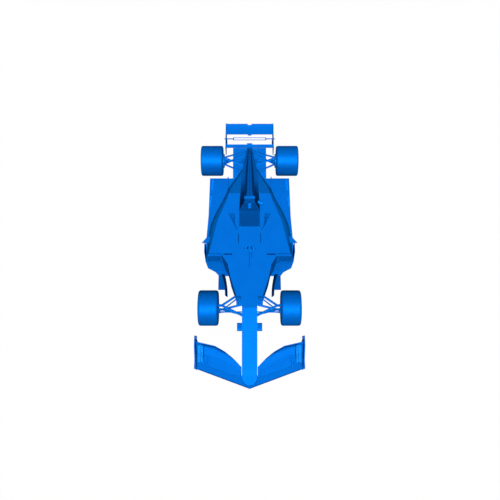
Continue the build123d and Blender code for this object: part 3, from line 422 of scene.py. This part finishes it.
def buildDeck():
    z = deck["height"]
    frames, slots = bmesh.new(), bmesh.new()
    for hand in (1, -1):
        for tailX, length in zip(deck["gillTails"], deck["gillLengths"]):
            tail = at(hand * tailX, deck["gillRearY"], z)
            point = tail.lerp(at(hand * deck["gillPoint"][0], deck["gillPoint"][1], z), length)
            addStrip(frames, tail, point, bead(*deck["gillFrame"]))
            addStrip(slots, tail, point, bead(*deck["gillSlot"]))
        ends = [at(hand * x, deck["slotY"], z) for x in deck["slotX"]]
        addStrip(frames, *ends, bead(*deck["slotFrame"]))
        addStrip(slots, *ends, bead(*deck["slotMouth"]))
        for form, run, size in ((slots, "drain", "drainBead"), (frames, "lid", "lidBead")):
            x, first, last, level = deck[run]
            addStrip(form, at(hand * x, first, level), at(hand * x, last, level), bead(*deck[size]))
    finishPiece("deckGillFrames", frames, "body_paint")
    # the slots are dark beads: painted shade of the recesses
    finishPiece("deckGillSlots", slots, "body_paint", finish=slotShadeEnamel)
    print("deck gills and slots")


filler = {
    "centre": (2, -103),
    "cap": [(-2, 30), (5, 30), (9, 25), (9, 12), (6, 9), (6, 2)],      # along, radius
    "capSteps": 24,
    "reach": (108, 84),                            # of the arms, across and along the car
    "angles": (90, 38, -4, -90, 184, 142),
    "arm": (0.32, 1),                              # its two ends, as shares of the reach
    "armBead": (30, 1.0),
    "lug": (26, 36, 16),
    "lugPlace": 0.72,
    "lugTilt": 22,                                 # degrees, rising towards the tail to catch the light
    "lugChamfer": 2,
}


def buildFiller():
    hatch, seat = bmesh.new(), bmesh.new()
    middle = at(*filler["centre"], deck["height"])
    addTurned(hatch, middle, upright, filler["cap"], filler["capSteps"])
    for angle in filler["angles"]:
        turn = math.radians(angle)
        reach = Vector((math.cos(turn) * filler["reach"][0], math.sin(turn) * filler["reach"][1], 0))
        ends = [middle + reach * share * mm for share in filler["arm"]]
        addStrip(seat, *ends, bead(*filler["armBead"]))
        place = Matrix.Translation(middle + reach * filler["lugPlace"] * mm)
        tilt = Matrix.Rotation(math.radians(filler["lugTilt"]), 4, "X")
        addBlock(hatch, Vector(), filler["lug"], filler["lugChamfer"], place @ tilt)
    finishPiece("fillerHatch", hatch, "body_paint")
    # a dark bead under each arm: painted shade round the hatch
    finishPiece("fillerHatchSeat", seat, "body_paint", finish=slotShadeEnamel)
    print("filler hatch")


seams = {
    "deckRearY": -188,
    "deckRuns": ((-6, -493), (34, -303)),          # x, front y
    "deckBead": (9, 1.0),
    "spineRuns": ((1050, 1700, 9, 1.2), (1700, 2330, 6, 1.0)),         # first y, last y, width, rise
    "spineHeight": 900,
    "crossY": (980, 1650),
    "crossEnds": ((4, 900), (150, 700)),           # x, z
    "crossBead": (5, 1.0),
    "crossSpacing": 15,
}


def buildSeams():
    form = bmesh.new()
    z = deck["height"]
    for x, front in seams["deckRuns"]:
        addStrip(form, at(x, seams["deckRearY"], z), at(x, front, z), bead(*seams["deckBead"]))
    for first, last, width, rise in seams["spineRuns"]:
        ends = [(0, y, seams["spineHeight"]) for y in (first, last)]
        layBead(form, "engine_cover", ends, bead(width, rise))
    for y in seams["crossY"]:
        for hand in (1, -1):
            ends = [(hand * x, y, level) for x, level in seams["crossEnds"]]
            layBead(form, "engine_cover", ends, bead(*seams["crossBead"]),
                    spacing=seams["crossSpacing"])
    # the seam lines, painted dark as the shade in their gaps
    finishPiece("panelSeams", form, "body_paint", finish=slotShadeEnamel)
    print("panel seams")


hoopTop = {
    "dropHeight": 1100,                            # both are dropped on the cover from here
    "boot": (164, 846),                            # x, y, at the root of the telemetry pod
    "bootSize": (62, 52, 34),
    "bootChamfer": 6,
    "cap": (0, 726),
    "capOutline": [(-2, 15), (6, 15), (10, 10), (10, 3)],
    "capSteps": 16,
}


def buildHoopTop():
    boot, cap = bmesh.new(), bmesh.new()
    place, normal = castOn("engine_cover", at(*hoopTop["boot"], hoopTop["dropHeight"]), down)
    addBlock(boot, place, hoopTop["bootSize"], hoopTop["bootChamfer"])
    # lighter paint on the boot: a painted highlight
    finishPiece("aerialBoot", boot, "body_paint", finish=highlightEnamel)
    place, normal = castOn("engine_cover", at(*hoopTop["cap"], hoopTop["dropHeight"]), down)
    addTurned(cap, place, normal, hoopTop["capOutline"], hoopTop["capSteps"])
    # dark paint on the cap: painted shade
    finishPiece("hoopCap", cap, "body_paint", finish=slotShadeEnamel, smoothBelow=40)
    print("aerial boot and hoop cap")


studs = {
    "outline": [(-1.5, 9), (1.2, 9), (2.4, 6.48), (1.68, 2.7)],        # along, radius
    "steps": 14,
    "backOff": 200,                                # how far back from its spot each search starts
    # piece, z of its spots, and their x and y on the left side; the right side mirrors them
    "fromAbove": (
        ("nose", 900, ((110, -1390), (110, -1430), (110, -2300))),
        ("monocoque", 900, ((60, -1165), (115, -1165))),
        ("sidepod", 900, ((640, -150), (660, 150), (650, 450), (610, 700), (500, 900), (380, 1120))),
        ("floor", 300, ((800, 200), (800, 500), (800, 900), (800, 1300), (800, 1650))),
        ("front_wing_main", 300, ((330, -2451.25), (620, -2342.5), (860, -2252.5))),
    ),
    "coverX": 900,                                 # looked at from the side, so with y and z
    "coverSpots": ((790, 640), (960, 640), (1130, 620), (1700, 500), (1900, 430), (2100, 370)),
}


def addStud(form, nodeName, spot, heading):
    # one stud where the line meets the piece, and none where it misses
    start = (Vector(spot) - Vector(heading) * studs["backOff"]) * mm
    place, normal = castOn(nodeName, start, heading)
    if place is not None:
        addTurned(form, place, normal, studs["outline"], studs["steps"])


def buildStuds():
    form = bmesh.new()
    for hand, side in sides:
        for name, z, spots in studs["fromAbove"]:
            nodeName = f"{name}_{side}" if name == "sidepod" else name
            for x, y in spots:
                addStud(form, nodeName, (hand * x, y, z), down)
        for y, z in studs["coverSpots"]:
            addStud(form, "engine_cover", (hand * studs["coverX"], y, z), (-hand, 0, 0))
    finishPiece("quickReleaseStuds", form, "link_coating", smoothBelow=40)
    print("quick-release studs")


flicks = {
    "runs": ((1102, 1341), (1512, 1759)),          # first and last y of each run
    "edges": ((846, 818), (806, 796)),             # x of the floor's edge there
    "inset": 10,
    "floorTop": 80,
    "length": 52,                                  # from one flick to the next
    "gap": 6,
    "lip": 4,
    "width": 34,
    "rise": 22,
    "foot": 2,                                     # how deep it is sunk, and how high it starts
}


def buildFlicks():
    form = bmesh.new()
    tail = flicks["length"] - flicks["gap"]
    ramp = [(0, -flicks["foot"]), (tail, -flicks["foot"]), (tail, flicks["rise"]),
            (tail - flicks["lip"], flicks["rise"]), (0, flicks["foot"])]
    half = flicks["width"] / 2
    for hand in (1, -1):
        for (first, last), (edgeFirst, edgeLast) in zip(flicks["runs"], flicks["edges"]):
            for step in range(round((last - first) / flicks["length"])):
                y = first + step * flicks["length"]
                share = (y + flicks["length"] - first) / (last - first)
                x = edgeFirst + (edgeLast - edgeFirst) * min(share, 1) - half - flicks["inset"]
                rings = [[form.verts.new(at(hand * across, y + along, flicks["floorTop"] + rise))
                          for along, rise in ramp] for across in (x - half, x + half)]
                joinRings(form, rings, False)
    finishPiece("floorEdgeFlicks", form, "floor_composite")
    print("floor flicks")


rearWing = {
    "gurney": (250, 2631, 831),                    # centre of each half's strip
    "gurneySize": (424, 4, 9),
    "gurneyChamfer": 1,
    "rod": (2277, 800),                            # y, z of the rod's ends
    "rodEnds": ((488, [(0, 13), (9, 13), (12, 10), (22, 8), (22, 2)]),     # x, then along and radius
                (336, [(-16, 11), (10, 11), (14, 8), (14, 3)])),
    "rodSteps": 14,
    "boltX": 488,
    "bolts": ((2090, 760), (2090, 600), (2560, 770), (2450, 600), (2240, 560)),    # y, z
    "boltOutline": [(-1, 9), (2, 9), (4, 6), (4, 2)],
    "boltSteps": 12,
    "skinX": 472.5,
    "skinY": (2140, 2400),
    "skinZ": (815, 600),                           # top, bottom
    "skinSteps": (8, 6),                           # along, down
    "bulge": 20,                                   # where the rods meet the skin
    "bulgeSteps": (3, 2),                          # taken to swell at the top and to fade at the bottom
}


def buildRearWing():
    form = bmesh.new()
    for hand in (1, -1):
        x, y, z = rearWing["gurney"]
        addBlock(form, at(hand * x, y, z), rearWing["gurneySize"], rearWing["gurneyChamfer"])
        for x, outline in rearWing["rodEnds"]:
            addTurned(form, at(hand * x, *rearWing["rod"]), (hand, 0, 0), outline, rearWing["rodSteps"])
        for spot in rearWing["bolts"]:
            addTurned(form, at(hand * rearWing["boltX"], *spot), (hand, 0, 0),
                      rearWing["boltOutline"], rearWing["boltSteps"])
    finishPiece("rearWingFittings", form, "link_coating", smoothBelow=40)

    skin = bmesh.new()
    (front, rear), (top, bottom) = rearWing["skinY"], rearWing["skinZ"]
    (stepsAlong, stepsDown), (swellSteps, fadeSteps) = rearWing["skinSteps"], rearWing["bulgeSteps"]
    for hand in (1, -1):
        rows = []
        for i in range(stepsAlong + 1):
            y = front + (rear - front) * i / stepsAlong
            row = []
            for j in range(stepsDown + 1):
                z = top - (top - bottom) * j / stepsDown
                swell = math.sin(math.pi * i / stepsAlong)
                swell *= math.sin(math.pi / 2 * min(1, j / swellSteps))
                swell *= min(1, (stepsDown - j) / fadeSteps)
                x = rearWing["skinX"] - rearWing["bulge"] * swell
                row.append(skin.verts.new(at(hand * x, y, z)))
            rows.append(row)
        for near, far in zip(rows, rows[1:]):
            for j in range(stepsDown):
                skin.faces.new((near[j], near[j + 1], far[j + 1], far[j]))
    # the skins take the darker paint: painted shade
    finishPiece("rearWingInnerSkins", skin, "wing_paint", finish=paintedShadeEnamel, smoothBelow=50)
    print("rear wing fittings")


frontWing = {
    "flapDrop": 400,                               # z of the paths that are dropped on the flaps
    "pad": (888, -2200, -1870, 88),                # x, first y, last y, width
    "padRise": 1.5,
    "fences": ((832, -2090, -1862, 13), (794, -2300, -2160, 9),
               (872, -2250, -2190, 9), (905, -2275, -2205, 9)),
    "fenceRise": 2.4,
    "edges": ((((870, -1862), (624, -1917), (442, -2012)), 30),        # x and y of the corners, width
              (((442, -2004), (290, -2122)), 14)),
    "edgeRise": 0.8,
    "mainDrop": 300,                               # and on the main plane
    "leading": ((20, -2619), (930, -2278)),
    "leadingBead": (10, 1.0),
    "leadingSpacing": 120,
    "rail": ((970, -2238, 197), (988, -1900, 300), (988, -1722, 300)),     # along the endplate's top
    "railBead": (20, 5, 6),                        # width, rise, sink
    "tip": (971, -1748, 286),
    "tipOutline": [(-34, 10), (-26, 21), (-4, 27), (12, 25), (22, 17), (27, 6)],
    "tipSteps": 16,
}


def buildFrontWing():
    strips, trims, rails = bmesh.new(), bmesh.new(), bmesh.new()
    for hand, side in sides:
        flap = f"front_flap_{side}"
        z = frontWing["flapDrop"]
        x, first, last, width = frontWing["pad"]
        path = [(hand * x, y, z) for y in (first, last)]
        layBead(strips, flap, path, bead(width, frontWing["padRise"]))
        for x, first, last, width in frontWing["fences"]:
            path = [(hand * x, y, z) for y in (first, last)]
            layBead(trims, flap, path, bead(width, frontWing["fenceRise"]))
        for corners, width in frontWing["edges"]:
            path = [(hand * x, y, z) for x, y in corners]
            layBead(trims, flap, path, bead(width, frontWing["edgeRise"]))
        path = [(hand * x, y, frontWing["mainDrop"]) for x, y in frontWing["leading"]]
        layBead(trims, "front_wing_main", path, bead(*frontWing["leadingBead"]),
                spacing=frontWing["leadingSpacing"])
    # lighter paint on the pads: a painted highlight
    finishPiece("frontWingStrips", strips, "wing_paint", finish=highlightEnamel)
    # dark paint on the fences and edges: painted shade
    finishPiece("frontWingTrims", trims, "wing_paint", finish=slotShadeEnamel)

    # a rolled bead along the top of each front endplate, ending in a rounded tip
    for hand in (1, -1):
        path = [at(hand * x, y, z) for x, y, z in frontWing["rail"]]
        addSweep(rails, path, [upright] * len(path), bead(*frontWing["railBead"]))
        x, y, z = frontWing["tip"]
        addTurned(rails, at(hand * x, y, z), (0, 1, 0), frontWing["tipOutline"], frontWing["tipSteps"])
    finishPiece("endplateRails", rails, "wing_paint", smoothBelow=40)
    print("front wing trims and rails")


wheels = {
    # inner is the x of the tyre's inside face
    "front": {"inner": 572, "width": 365, "y": -1200, "radius": 325},
    "rear": {"inner": 548, "width": 452, "y": 2080, "radius": 310},
    "sidewall": 8,                                 # the rim's edge is this far inside the tyre's face
    "discInset": 75,
    # outlines from the disc's face: along, radius
    "hub": [(8, 40), (22, 40), (26, 36), (26, 26)],
    "hubSteps": 24,
    "nut": [(20, 29), (50, 29), (54, 25), (54, 14), (46, 12)],
    "nutSides": 6,
    "spokes": 10,
    "spokeReach": (52, 146),
    "spokeSection": [(-9, -1), (9, -1), (5, 6), (-5, 6)],
    "valveTurn": 0.31,                             # radians round from straight back
    "valveRadius": 150,
    "valve": [(-4, 6), (14, 5), (16, 4), (26, 4), (26, 1.5)],
    "valveSink": 2,
    "valveSteps": 10,
    "lips": (1, 9),                                # how far the rim's two beads stand in from its edge
    "lip": [(-3, 158), (0, 158), (1, 160), (1, 164), (-3, 164)],
    "lipSteps": 48,
    "ribRadii": (186, 224, 250),                   # moulded ribs on both sidewalls
    "rib": ((-5, -3), (0.44, -2), (0.44, 2), (-5, 3)),     # out of the sidewall, off the radius
    "ribSteps": 64,
}


def spoke(turn):
    # the way out from an axle, at a turn in radians
    return Vector((0, math.cos(turn), math.sin(turn)))


def buildWheels():
    for end in ("front", "rear"):
        size = wheels[end]
        centre = at(0, size["y"], size["radius"])
        for hand, side in sides:
            axis = Vector((hand, 0, 0))
            name, body = end.capitalize() + side.capitalize(), f"wheel_{end}_{side}"
            tyreFace = size["inner"] + size["width"]
            face = tyreFace - wheels["sidewall"] - wheels["discInset"]
            nut, ribs = bmesh.new(), bmesh.new()
            for part, steps in (("hub", "hubSteps"), ("nut", "nutSides")):
                outline = [(face + along, radius) for along, radius in wheels[part]]
                addTurned(nut, centre, axis, outline, wheels[steps])
            disc = centre + axis * face * mm
            for step in range(wheels["spokes"]):
                reach = spoke(2 * math.pi * (step + 0.5) / wheels["spokes"])
                ends = [disc + reach * radius * mm for radius in wheels["spokeReach"]]
                addSweep(nut, ends, [axis, axis], wheels["spokeSection"])
            foot = centre + axis * (face - wheels["valveSink"]) * mm
            foot = foot + spoke(wheels["valveTurn"]) * wheels["valveRadius"] * mm
            addTurned(nut, foot, axis, wheels["valve"], wheels["valveSteps"])
            for inset in wheels["lips"]:
                edge = tyreFace - wheels["sidewall"] - inset
                outline = [(edge + along, radius) for along, radius in wheels["lip"]]
                addTurned(nut, centre, axis, outline, wheels["lipSteps"], closed=True)
            finishPiece(f"wheelNut{name}", nut, "wheel_metal", body, smoothBelow=35)

            for radius in wheels["ribRadii"]:
                for base, out in ((tyreFace, 1), (size["inner"], -1)):
                    outline = [(base + out * along, radius + away) for along, away in wheels["rib"]]
                    addTurned(ribs, centre, axis, outline, wheels["ribSteps"], closed=True)
            finishPiece(f"sidewallRibs{name}", ribs, "tyre_rubber", body, smoothBelow=50)
    print("wheel nuts, valves and sidewall ribs")


brakes = {
    "face": 120,                                   # outboard of the wheel's inside face
    "rings": ((128, 139, 5), (84, 90, 4), (52, 66, 8)),        # inner radius, outer radius, rise
    "ringBevel": 1.5,
    "ringSink": 1,
    "ringSteps": 48,
    "vanes": 24,
    "vaneReach": (92, 126),
    "vaneSection": [(-3, -1), (3, -1), (2, 4), (-2, 4)],
}


def buildBrakes():
    for end in ("front", "rear"):
        size = wheels[end]
        face, centre = size["inner"] + brakes["face"], at(0, size["y"], size["radius"])
        low, bevel = face - brakes["ringSink"], brakes["ringBevel"]
        for hand, side in sides:
            form = bmesh.new()
            axis = Vector((hand, 0, 0))
            for inner, outer, rise in brakes["rings"]:
                outline = [(low, inner), (face + rise, inner + bevel),
                           (face + rise, outer - bevel), (low, outer)]
                addTurned(form, centre, axis, outline, brakes["ringSteps"], closed=True)
            base = centre + axis * face * mm
            for step in range(brakes["vanes"]):
                reach = spoke(2 * math.pi * step / brakes["vanes"])
                ends = [base + reach * radius * mm for radius in brakes["vaneReach"]]
                addSweep(form, ends, [axis, axis], brakes["vaneSection"])
            body = f"knuckle_{side}" if end == "front" else "chassis"
            finishPiece(f"brakeFace{end.capitalize()}{side.capitalize()}", form, "cast_metal", body,
                        smoothBelow=35)
    print("brake faces")


linkage = {
    "balls": ((545, -1200, 450), (545, -1200, 250)),           # the king pin's upper and lower end
    "ballOffset": 10,
    "ballCap": [(0, 14), (1.6, 14), (2.0, 12), (2.0, 6)],
    "ballSteps": 18,
    # outer and inner end of each wishbone leg on the left side
    "legs": (((505, -1200, 450), (120, -1402, 455)), ((505, -1200, 450), (220, -1000, 460)),
             ((505, -1200, 250), (120, -1330, 320)), ((505, -1200, 250), (120, -1120, 300)),
             ((530, 2080, 430), (60, 1890, 380)), ((530, 2080, 430), (30, 2345, 300)),
             ((530, 2080, 190), (60, 1850, 180)), ((530, 2080, 190), (30, 2330, 262))),
    "collars": (0.16, 0.62),                       # share of the way from the wheel
    "collarHalf": 5,
    "collarSection": [(-23, 0), (-12, 8.2), (0, 9.6), (12, 8.2),
                      (23, 0), (12, -8.2), (0, -9.6), (-12, -8.2)],
    "shaftBoots": ((446, 1), (176, -1)),           # x, and which way each opens
    "shaftBoot": [(0, 24), (10, 32), (16, 27), (26, 36), (32, 29),
                  (42, 38), (50, 30), (60, 40), (74, 42), (74, 22)],
    "bootSteps": 28,
}


def buildLinkage():
    form = bmesh.new()
    rear = wheels["rear"]
    for hand in (1, -1):
        for x, y, z in linkage["balls"]:
            for out in (1, -1):
                addTurned(form, at(hand * x, y, z + out * linkage["ballOffset"]), (0, 0, out),
                          linkage["ballCap"], linkage["ballSteps"])
        for outer, inner in linkage["legs"]:
            first, last = Vector(outer), Vector(inner)
            along = (last - first).normalized()
            axis = Vector((hand * along.x, along.y, along.z))
            for share in linkage["collars"]:
                spot = first.lerp(last, share)
                place = at(hand * spot.x, spot.y, spot.z)
                half = axis * linkage["collarHalf"] * mm
                addStrip(form, place - half, place + half, linkage["collarSection"])
        for x, out in linkage["shaftBoots"]:
            addTurned(form, at(hand * x, rear["y"], rear["radius"]), (hand * out, 0, 0),
                      linkage["shaftBoot"], linkage["bootSteps"])
    finishPiece("linkCollars", form, "link_coating", smoothBelow=40)
    print("link collars and shaft boots")


radiator = {
    "rows": 9,
    "firstRow": (678, -235, 306),                  # centre of the lowest
    "rowStep": 25,
    "row": (216, 9, 5),
    "columns": 6,
    "firstColumn": (578, -236, 410),
    "columnStep": 40,
    "column": (4, 7, 222),
    "chamfer": 1,
}


def buildRadiators():
    form = bmesh.new()
    for hand in (1, -1):
        x, y, z = radiator["firstRow"]
        for step in range(radiator["rows"]):
            place = at(hand * x, y, z + step * radiator["rowStep"])
            addBlock(form, place, radiator["row"], radiator["chamfer"])
        x, y, z = radiator["firstColumn"]
        for step in range(radiator["columns"]):
            place = at(hand * (x + step * radiator["columnStep"]), y, z)
            addBlock(form, place, radiator["column"], radiator["chamfer"])
    # the fins take the darker paint: painted shade inside the inlets
    finishPiece("radiatorFins", form, "cast_metal", finish=paintedShadeEnamel)
    print("radiator fins")


gearbox = {
    # y, half width, bottom and top of each pair of ribs on the casing
    "ribs": ((1700, 86, 120, 440), (1830, 86, 150, 420), (1990, 84, 190, 385), (2150, 79, 226, 338),
             (2300, 68, 255, 305)),
    "rib": (10, 16),                               # thickness, length
    "ribSink": 1,
    "ribChamfer": 3,
    "boltInset": 18,                               # from the rib's ends
    "boltOut": 3,
    "bolt": [(0, 8), (5, 8), (6, 7), (6, 3)],
    "boltSides": 6,
    "jackSeat": (0, 2477, 272),                    # round the rear jack pin
    "jackOutline": [(0, 22), (8, 22), (11, 18), (11, 9)],
    "jackSteps": 20,
    "lamp": ((0, 2478, 322), (74, 18, 34), 6),     # centre, size, chamfer
    "lens": ((0, 2488, 322), (62, 6, 24), 2),
    "pipe": (34, 2385, 306),                       # one on each side of the tail
    "pipeOutline": [(-60, 17), (30, 17), (44, 20), (44, 16), (-20, 14)],
    "pipeSteps": 24,
}


def buildGearbox():
    form = bmesh.new()
    thickness, length = gearbox["rib"]
    for y, half, low, high in gearbox["ribs"]:
        for hand in (1, -1):
            addBlock(form, at(hand * (half - gearbox["ribSink"]), y, (low + high) / 2),
                     (thickness, length, high - low), gearbox["ribChamfer"])
            for z in (low + gearbox["boltInset"], high - gearbox["boltInset"]):
                addTurned(form, at(hand * (half + gearbox["boltOut"]), y, z), (hand, 0, 0),
                          gearbox["bolt"], gearbox["boltSides"])
    addTurned(form, at(*gearbox["jackSeat"]), (0, 1, 0), gearbox["jackOutline"], gearbox["jackSteps"])
    for part in ("lamp", "lens"):
        centre, size, chamfer = gearbox[part]
        addBlock(form, at(*centre), size, chamfer)
    for hand in (1, -1):
        x, y, z = gearbox["pipe"]
        addTurned(form, at(hand * x, y, z), (0, 1, 0), gearbox["pipeOutline"], gearbox["pipeSteps"])
    finishPiece("gearboxFittings", form, "cast_metal", smoothBelow=35)
    print("gearbox fittings")


skid = {
    "places": ((0, -600), (90, -560), (-90, -560), (0, 200), (110, 900), (-110, 900),
               (0, 1500), (110, 1750), (-110, 1750)),
    "height": 51,
    "outline": [(-1, 26), (3.5, 26), (5.5, 23), (5.5, 8)],
    "steps": 24,
}


def buildSkid():
    form = bmesh.new()
    for x, y in skid["places"]:
        addTurned(form, at(x, y, skid["height"]), down, skid["outline"], skid["steps"])
    finishPiece("skidPucks", form, "link_coating", smoothBelow=35)
    print("skid pucks")


cockpit = {
    "padHalf": 193,
    "padY": (372, 694),                            # front, rear
    "padHeight": 566,
    "padSection": [(-6, -14), (6, -14), (8, 0), (5, 12), (-5, 12), (-8, 0)],
    "strapX": (-74, 74),
    "strapNarrowing": 0.8,                         # how far in the straps start at the shoulders
    "strapY": 380,
    "strapZ": (540, 170),
    "strapBead": (44, 2.5, 1),                     # width, rise, sink
    "strapReach": 100,
    "buckle": (0, 560, 140),
    "buckleAxis": (0, -0.5, 0.87),
    "buckleOutline": [(-8, 30), (4, 30), (8, 26), (8, 10)],
    "buckleSteps": 20,
}


def buildCockpit():
    pad, straps = bmesh.new(), bmesh.new()
    half, (front, rear) = cockpit["padHalf"], cockpit["padY"]
    corners = [at(x, y, cockpit["padHeight"])
               for x, y in ((-half, rear), (-half, front), (half, front), (half, rear))]
    addSweep(pad, corners, [upright] * len(corners), cockpit["padSection"])
    finishPiece("cockpitRimPad", pad, "seat_trim")

    y, (top, bottom) = cockpit["strapY"], cockpit["strapZ"]
    for x in cockpit["strapX"]:
        layBead(straps, "seat", [(x * cockpit["strapNarrowing"], y, top), (x, y, bottom)],
                bead(*cockpit["strapBead"]), heading=(0, 1, 0), reach=cockpit["strapReach"])
    addTurned(straps, at(*cockpit["buckle"]), cockpit["buckleAxis"], cockpit["buckleOutline"],
              cockpit["buckleSteps"])
    finishPiece("harness", straps, "seat_trim")
    print("cockpit pad and harness")


handWheel = {
    "centre": (0, 290, 425),
    # x and z from the centre, radius
    "buttons": ((-86, 30, 8), (86, 30, 8), (-86, 5, 8), (86, 5, 8), (-62, -16, 7), (62, -16, 7),
                (-30, -16, 9), (30, -16, 9)),
    "buttonRise": (6, 8),                          # of its rim and its top
    "buttonDish": 2,                               # the top is this much narrower, round an equal middle
    "buttonSteps": 14,
    "grip": (104, -13, -55),                       # x, y and z from the centre
    "gripOutline": [(0, 15), (12, 19), (50, 18), (96, 19), (112, 15)],
    "gripSteps": 18,
    "display": (0, -8, 28),
    "displaySize": (112, 10, 38),
    "displayChamfer": 2,
}


def buildHandWheel():
    form = bmesh.new()
    centreX, centreY, centreZ = handWheel["centre"]
    rimRise, topRise = handWheel["buttonRise"]
    dish = handWheel["buttonDish"]
    for x, z, radius in handWheel["buttons"]:
        outline = [(-1, radius), (rimRise, radius), (topRise, radius - dish), (topRise, dish)]
        place = at(centreX + x, centreY, centreZ + z)
        addTurned(form, place, (0, 1, 0), outline, handWheel["buttonSteps"])
    x, y, z = handWheel["grip"]
    for hand in (1, -1):
        addTurned(form, at(centreX + hand * x, centreY + y, centreZ + z), upright,
                  handWheel["gripOutline"], handWheel["gripSteps"])
    x, y, z = handWheel["display"]
    addBlock(form, at(centreX + x, centreY + y, centreZ + z), handWheel["displaySize"],
             handWheel["displayChamfer"])
    finishPiece("steeringWheelControls", form, "grip_plastic", "hand_wheel", smoothBelow=40)
    print("hand wheel controls")


light = {
    # tilt is in degrees from upright towards the nose, across is how wide the light looks
    "keyLight": {"tilt": 33, "strength": 2.9, "across": 14, "shadows": False},
    "shadeLight": {"tilt": 12, "strength": 0.45, "across": 40, "shadows": True},
    "fillStrength": 0.09,                          # grey light from all round
    "white": "#FFFFFF",
    "floorSize": 60,
    "floorTint": "#F4F4F4",
    "floorBounce": "#202020",                      # dark, so that underside and flanks stay in shade
    "floorShade": 0.05,                            # how much of the car's shadow the white floor shows
}


def backgroundShare(tree, path, direct):
    # share of white that a ray sees: direct for the camera's own, all of it for mirrored or passed on
    own = addNode(tree, "ShaderNodeMath", operation="MULTIPLY", links=[(0, path, "Is Camera Ray")],
                  sockets={1: direct})
    mirrored = addNode(tree, "ShaderNodeMath", operation="ADD",
                       links=[(0, own, "Value"), (1, path, "Is Glossy Ray")])
    return addNode(tree, "ShaderNodeMath", operation="ADD", use_clamp=True,
                   links=[(0, mirrored, "Value"), (1, path, "Is Transmission Ray")])


def buildLights():
    for name in ("keyLight", "shadeLight"):
        lamp = light[name]
        sun = bpy.data.lights.new(name, "SUN")
        sun.energy = lamp["strength"]
        sun.angle = math.radians(lamp["across"])
        sun.use_shadow = lamp["shadows"]
        hung = bpy.data.objects.new(name, sun)
        hung.rotation_euler = (math.radians(lamp["tilt"]), 0, 0)
        bpy.context.scene.collection.objects.link(hung)

    world = bpy.data.worlds.new("studio")
    bpy.context.scene.world = world
    world.use_nodes = True
    tree = world.node_tree
    tree.nodes.clear()
    path = addNode(tree, "ShaderNodeLightPath")
    fill = addNode(tree, "ShaderNodeBackground",
                   sockets={"Color": linear(light["white"]), "Strength": light["fillStrength"]})
    white = addNode(tree, "ShaderNodeBackground",
                    sockets={"Color": linear(light["white"]), "Strength": 1.0})
    both = addNode(tree, "ShaderNodeMixShader",
                   links=[("Fac", backgroundShare(tree, path, 1.0), "Value"),
                          (1, fill, "Background"), (2, white, "Background")])
    addNode(tree, "ShaderNodeOutputWorld", links=[("Surface", both, "Shader")])
    print("lights")


def buildFloor():
    half = light["floorSize"] / 2
    mesh = bpy.data.meshes.new("studioFloor")
    mesh.from_pydata([(-half, -half, 0), (half, -half, 0), (half, half, 0), (-half, half, 0)], [],
                     [(0, 1, 2, 3)])
    floor = bpy.data.objects.new("studioFloor", mesh)
    bpy.context.scene.collection.objects.link(floor)
    material, tree = newMaterial("whiteFloor")
    path = addNode(tree, "ShaderNodeLightPath")
    bounce = addNode(tree, "ShaderNodeMix", data_type="RGBA",
                     links=[("Factor", path, "Is Diffuse Ray")],
                     sockets={mixFirst: linear(light["floorTint"]),
                              mixSecond: linear(light["floorBounce"])})
    matt = addNode(tree, "ShaderNodeBsdfDiffuse", links=[("Color", bounce, mixResult)])
    glow = addNode(tree, "ShaderNodeEmission",
                   sockets={"Color": linear(light["white"]), "Strength": 1.0})
    both = addNode(tree, "ShaderNodeMixShader",
                   links=[("Fac", backgroundShare(tree, path, 1 - light["floorShade"]), "Value"),
                          (1, matt, "BSDF"), (2, glow, "Emission")])
    addNode(tree, "ShaderNodeOutputMaterial", links=[("Surface", both, "Shader")])
    mesh.materials.append(material)
    print("floor")


eye = {
    "place": (0, -5.204, 10.658),
    "tilt": 26.7,                                  # degrees from straight down, towards the tail
    "focalPixels": 600,
    "framePixels": 500,
    "centreColumn": 249.6,                         # pixel column of the car's centre plane
    "sensor": 36,
}


def buildCamera():
    data = bpy.data.cameras.new("mainCamera")
    data.sensor_width = eye["sensor"]
    data.lens = eye["sensor"] * eye["focalPixels"] / eye["framePixels"]
    data.shift_x = (eye["framePixels"] / 2 - eye["centreColumn"]) / eye["framePixels"]
    camera = bpy.data.objects.new("mainCamera", data)
    camera.location = eye["place"]
    camera.rotation_euler = (math.radians(eye["tilt"]), 0, 0)
    bpy.context.scene.collection.objects.link(camera)
    bpy.context.scene.camera = camera
    bpy.context.scene.view_settings.view_transform = "Standard"
    print("camera")


buildDeck()
buildFiller()
buildSeams()
buildHoopTop()
buildStuds()
buildFlicks()
buildRearWing()
buildFrontWing()
buildWheels()
buildBrakes()
buildLinkage()
buildRadiators()
buildGearbox()
buildSkid()
buildCockpit()
buildHandWheel()
buildLights()
buildFloor()
buildCamera()
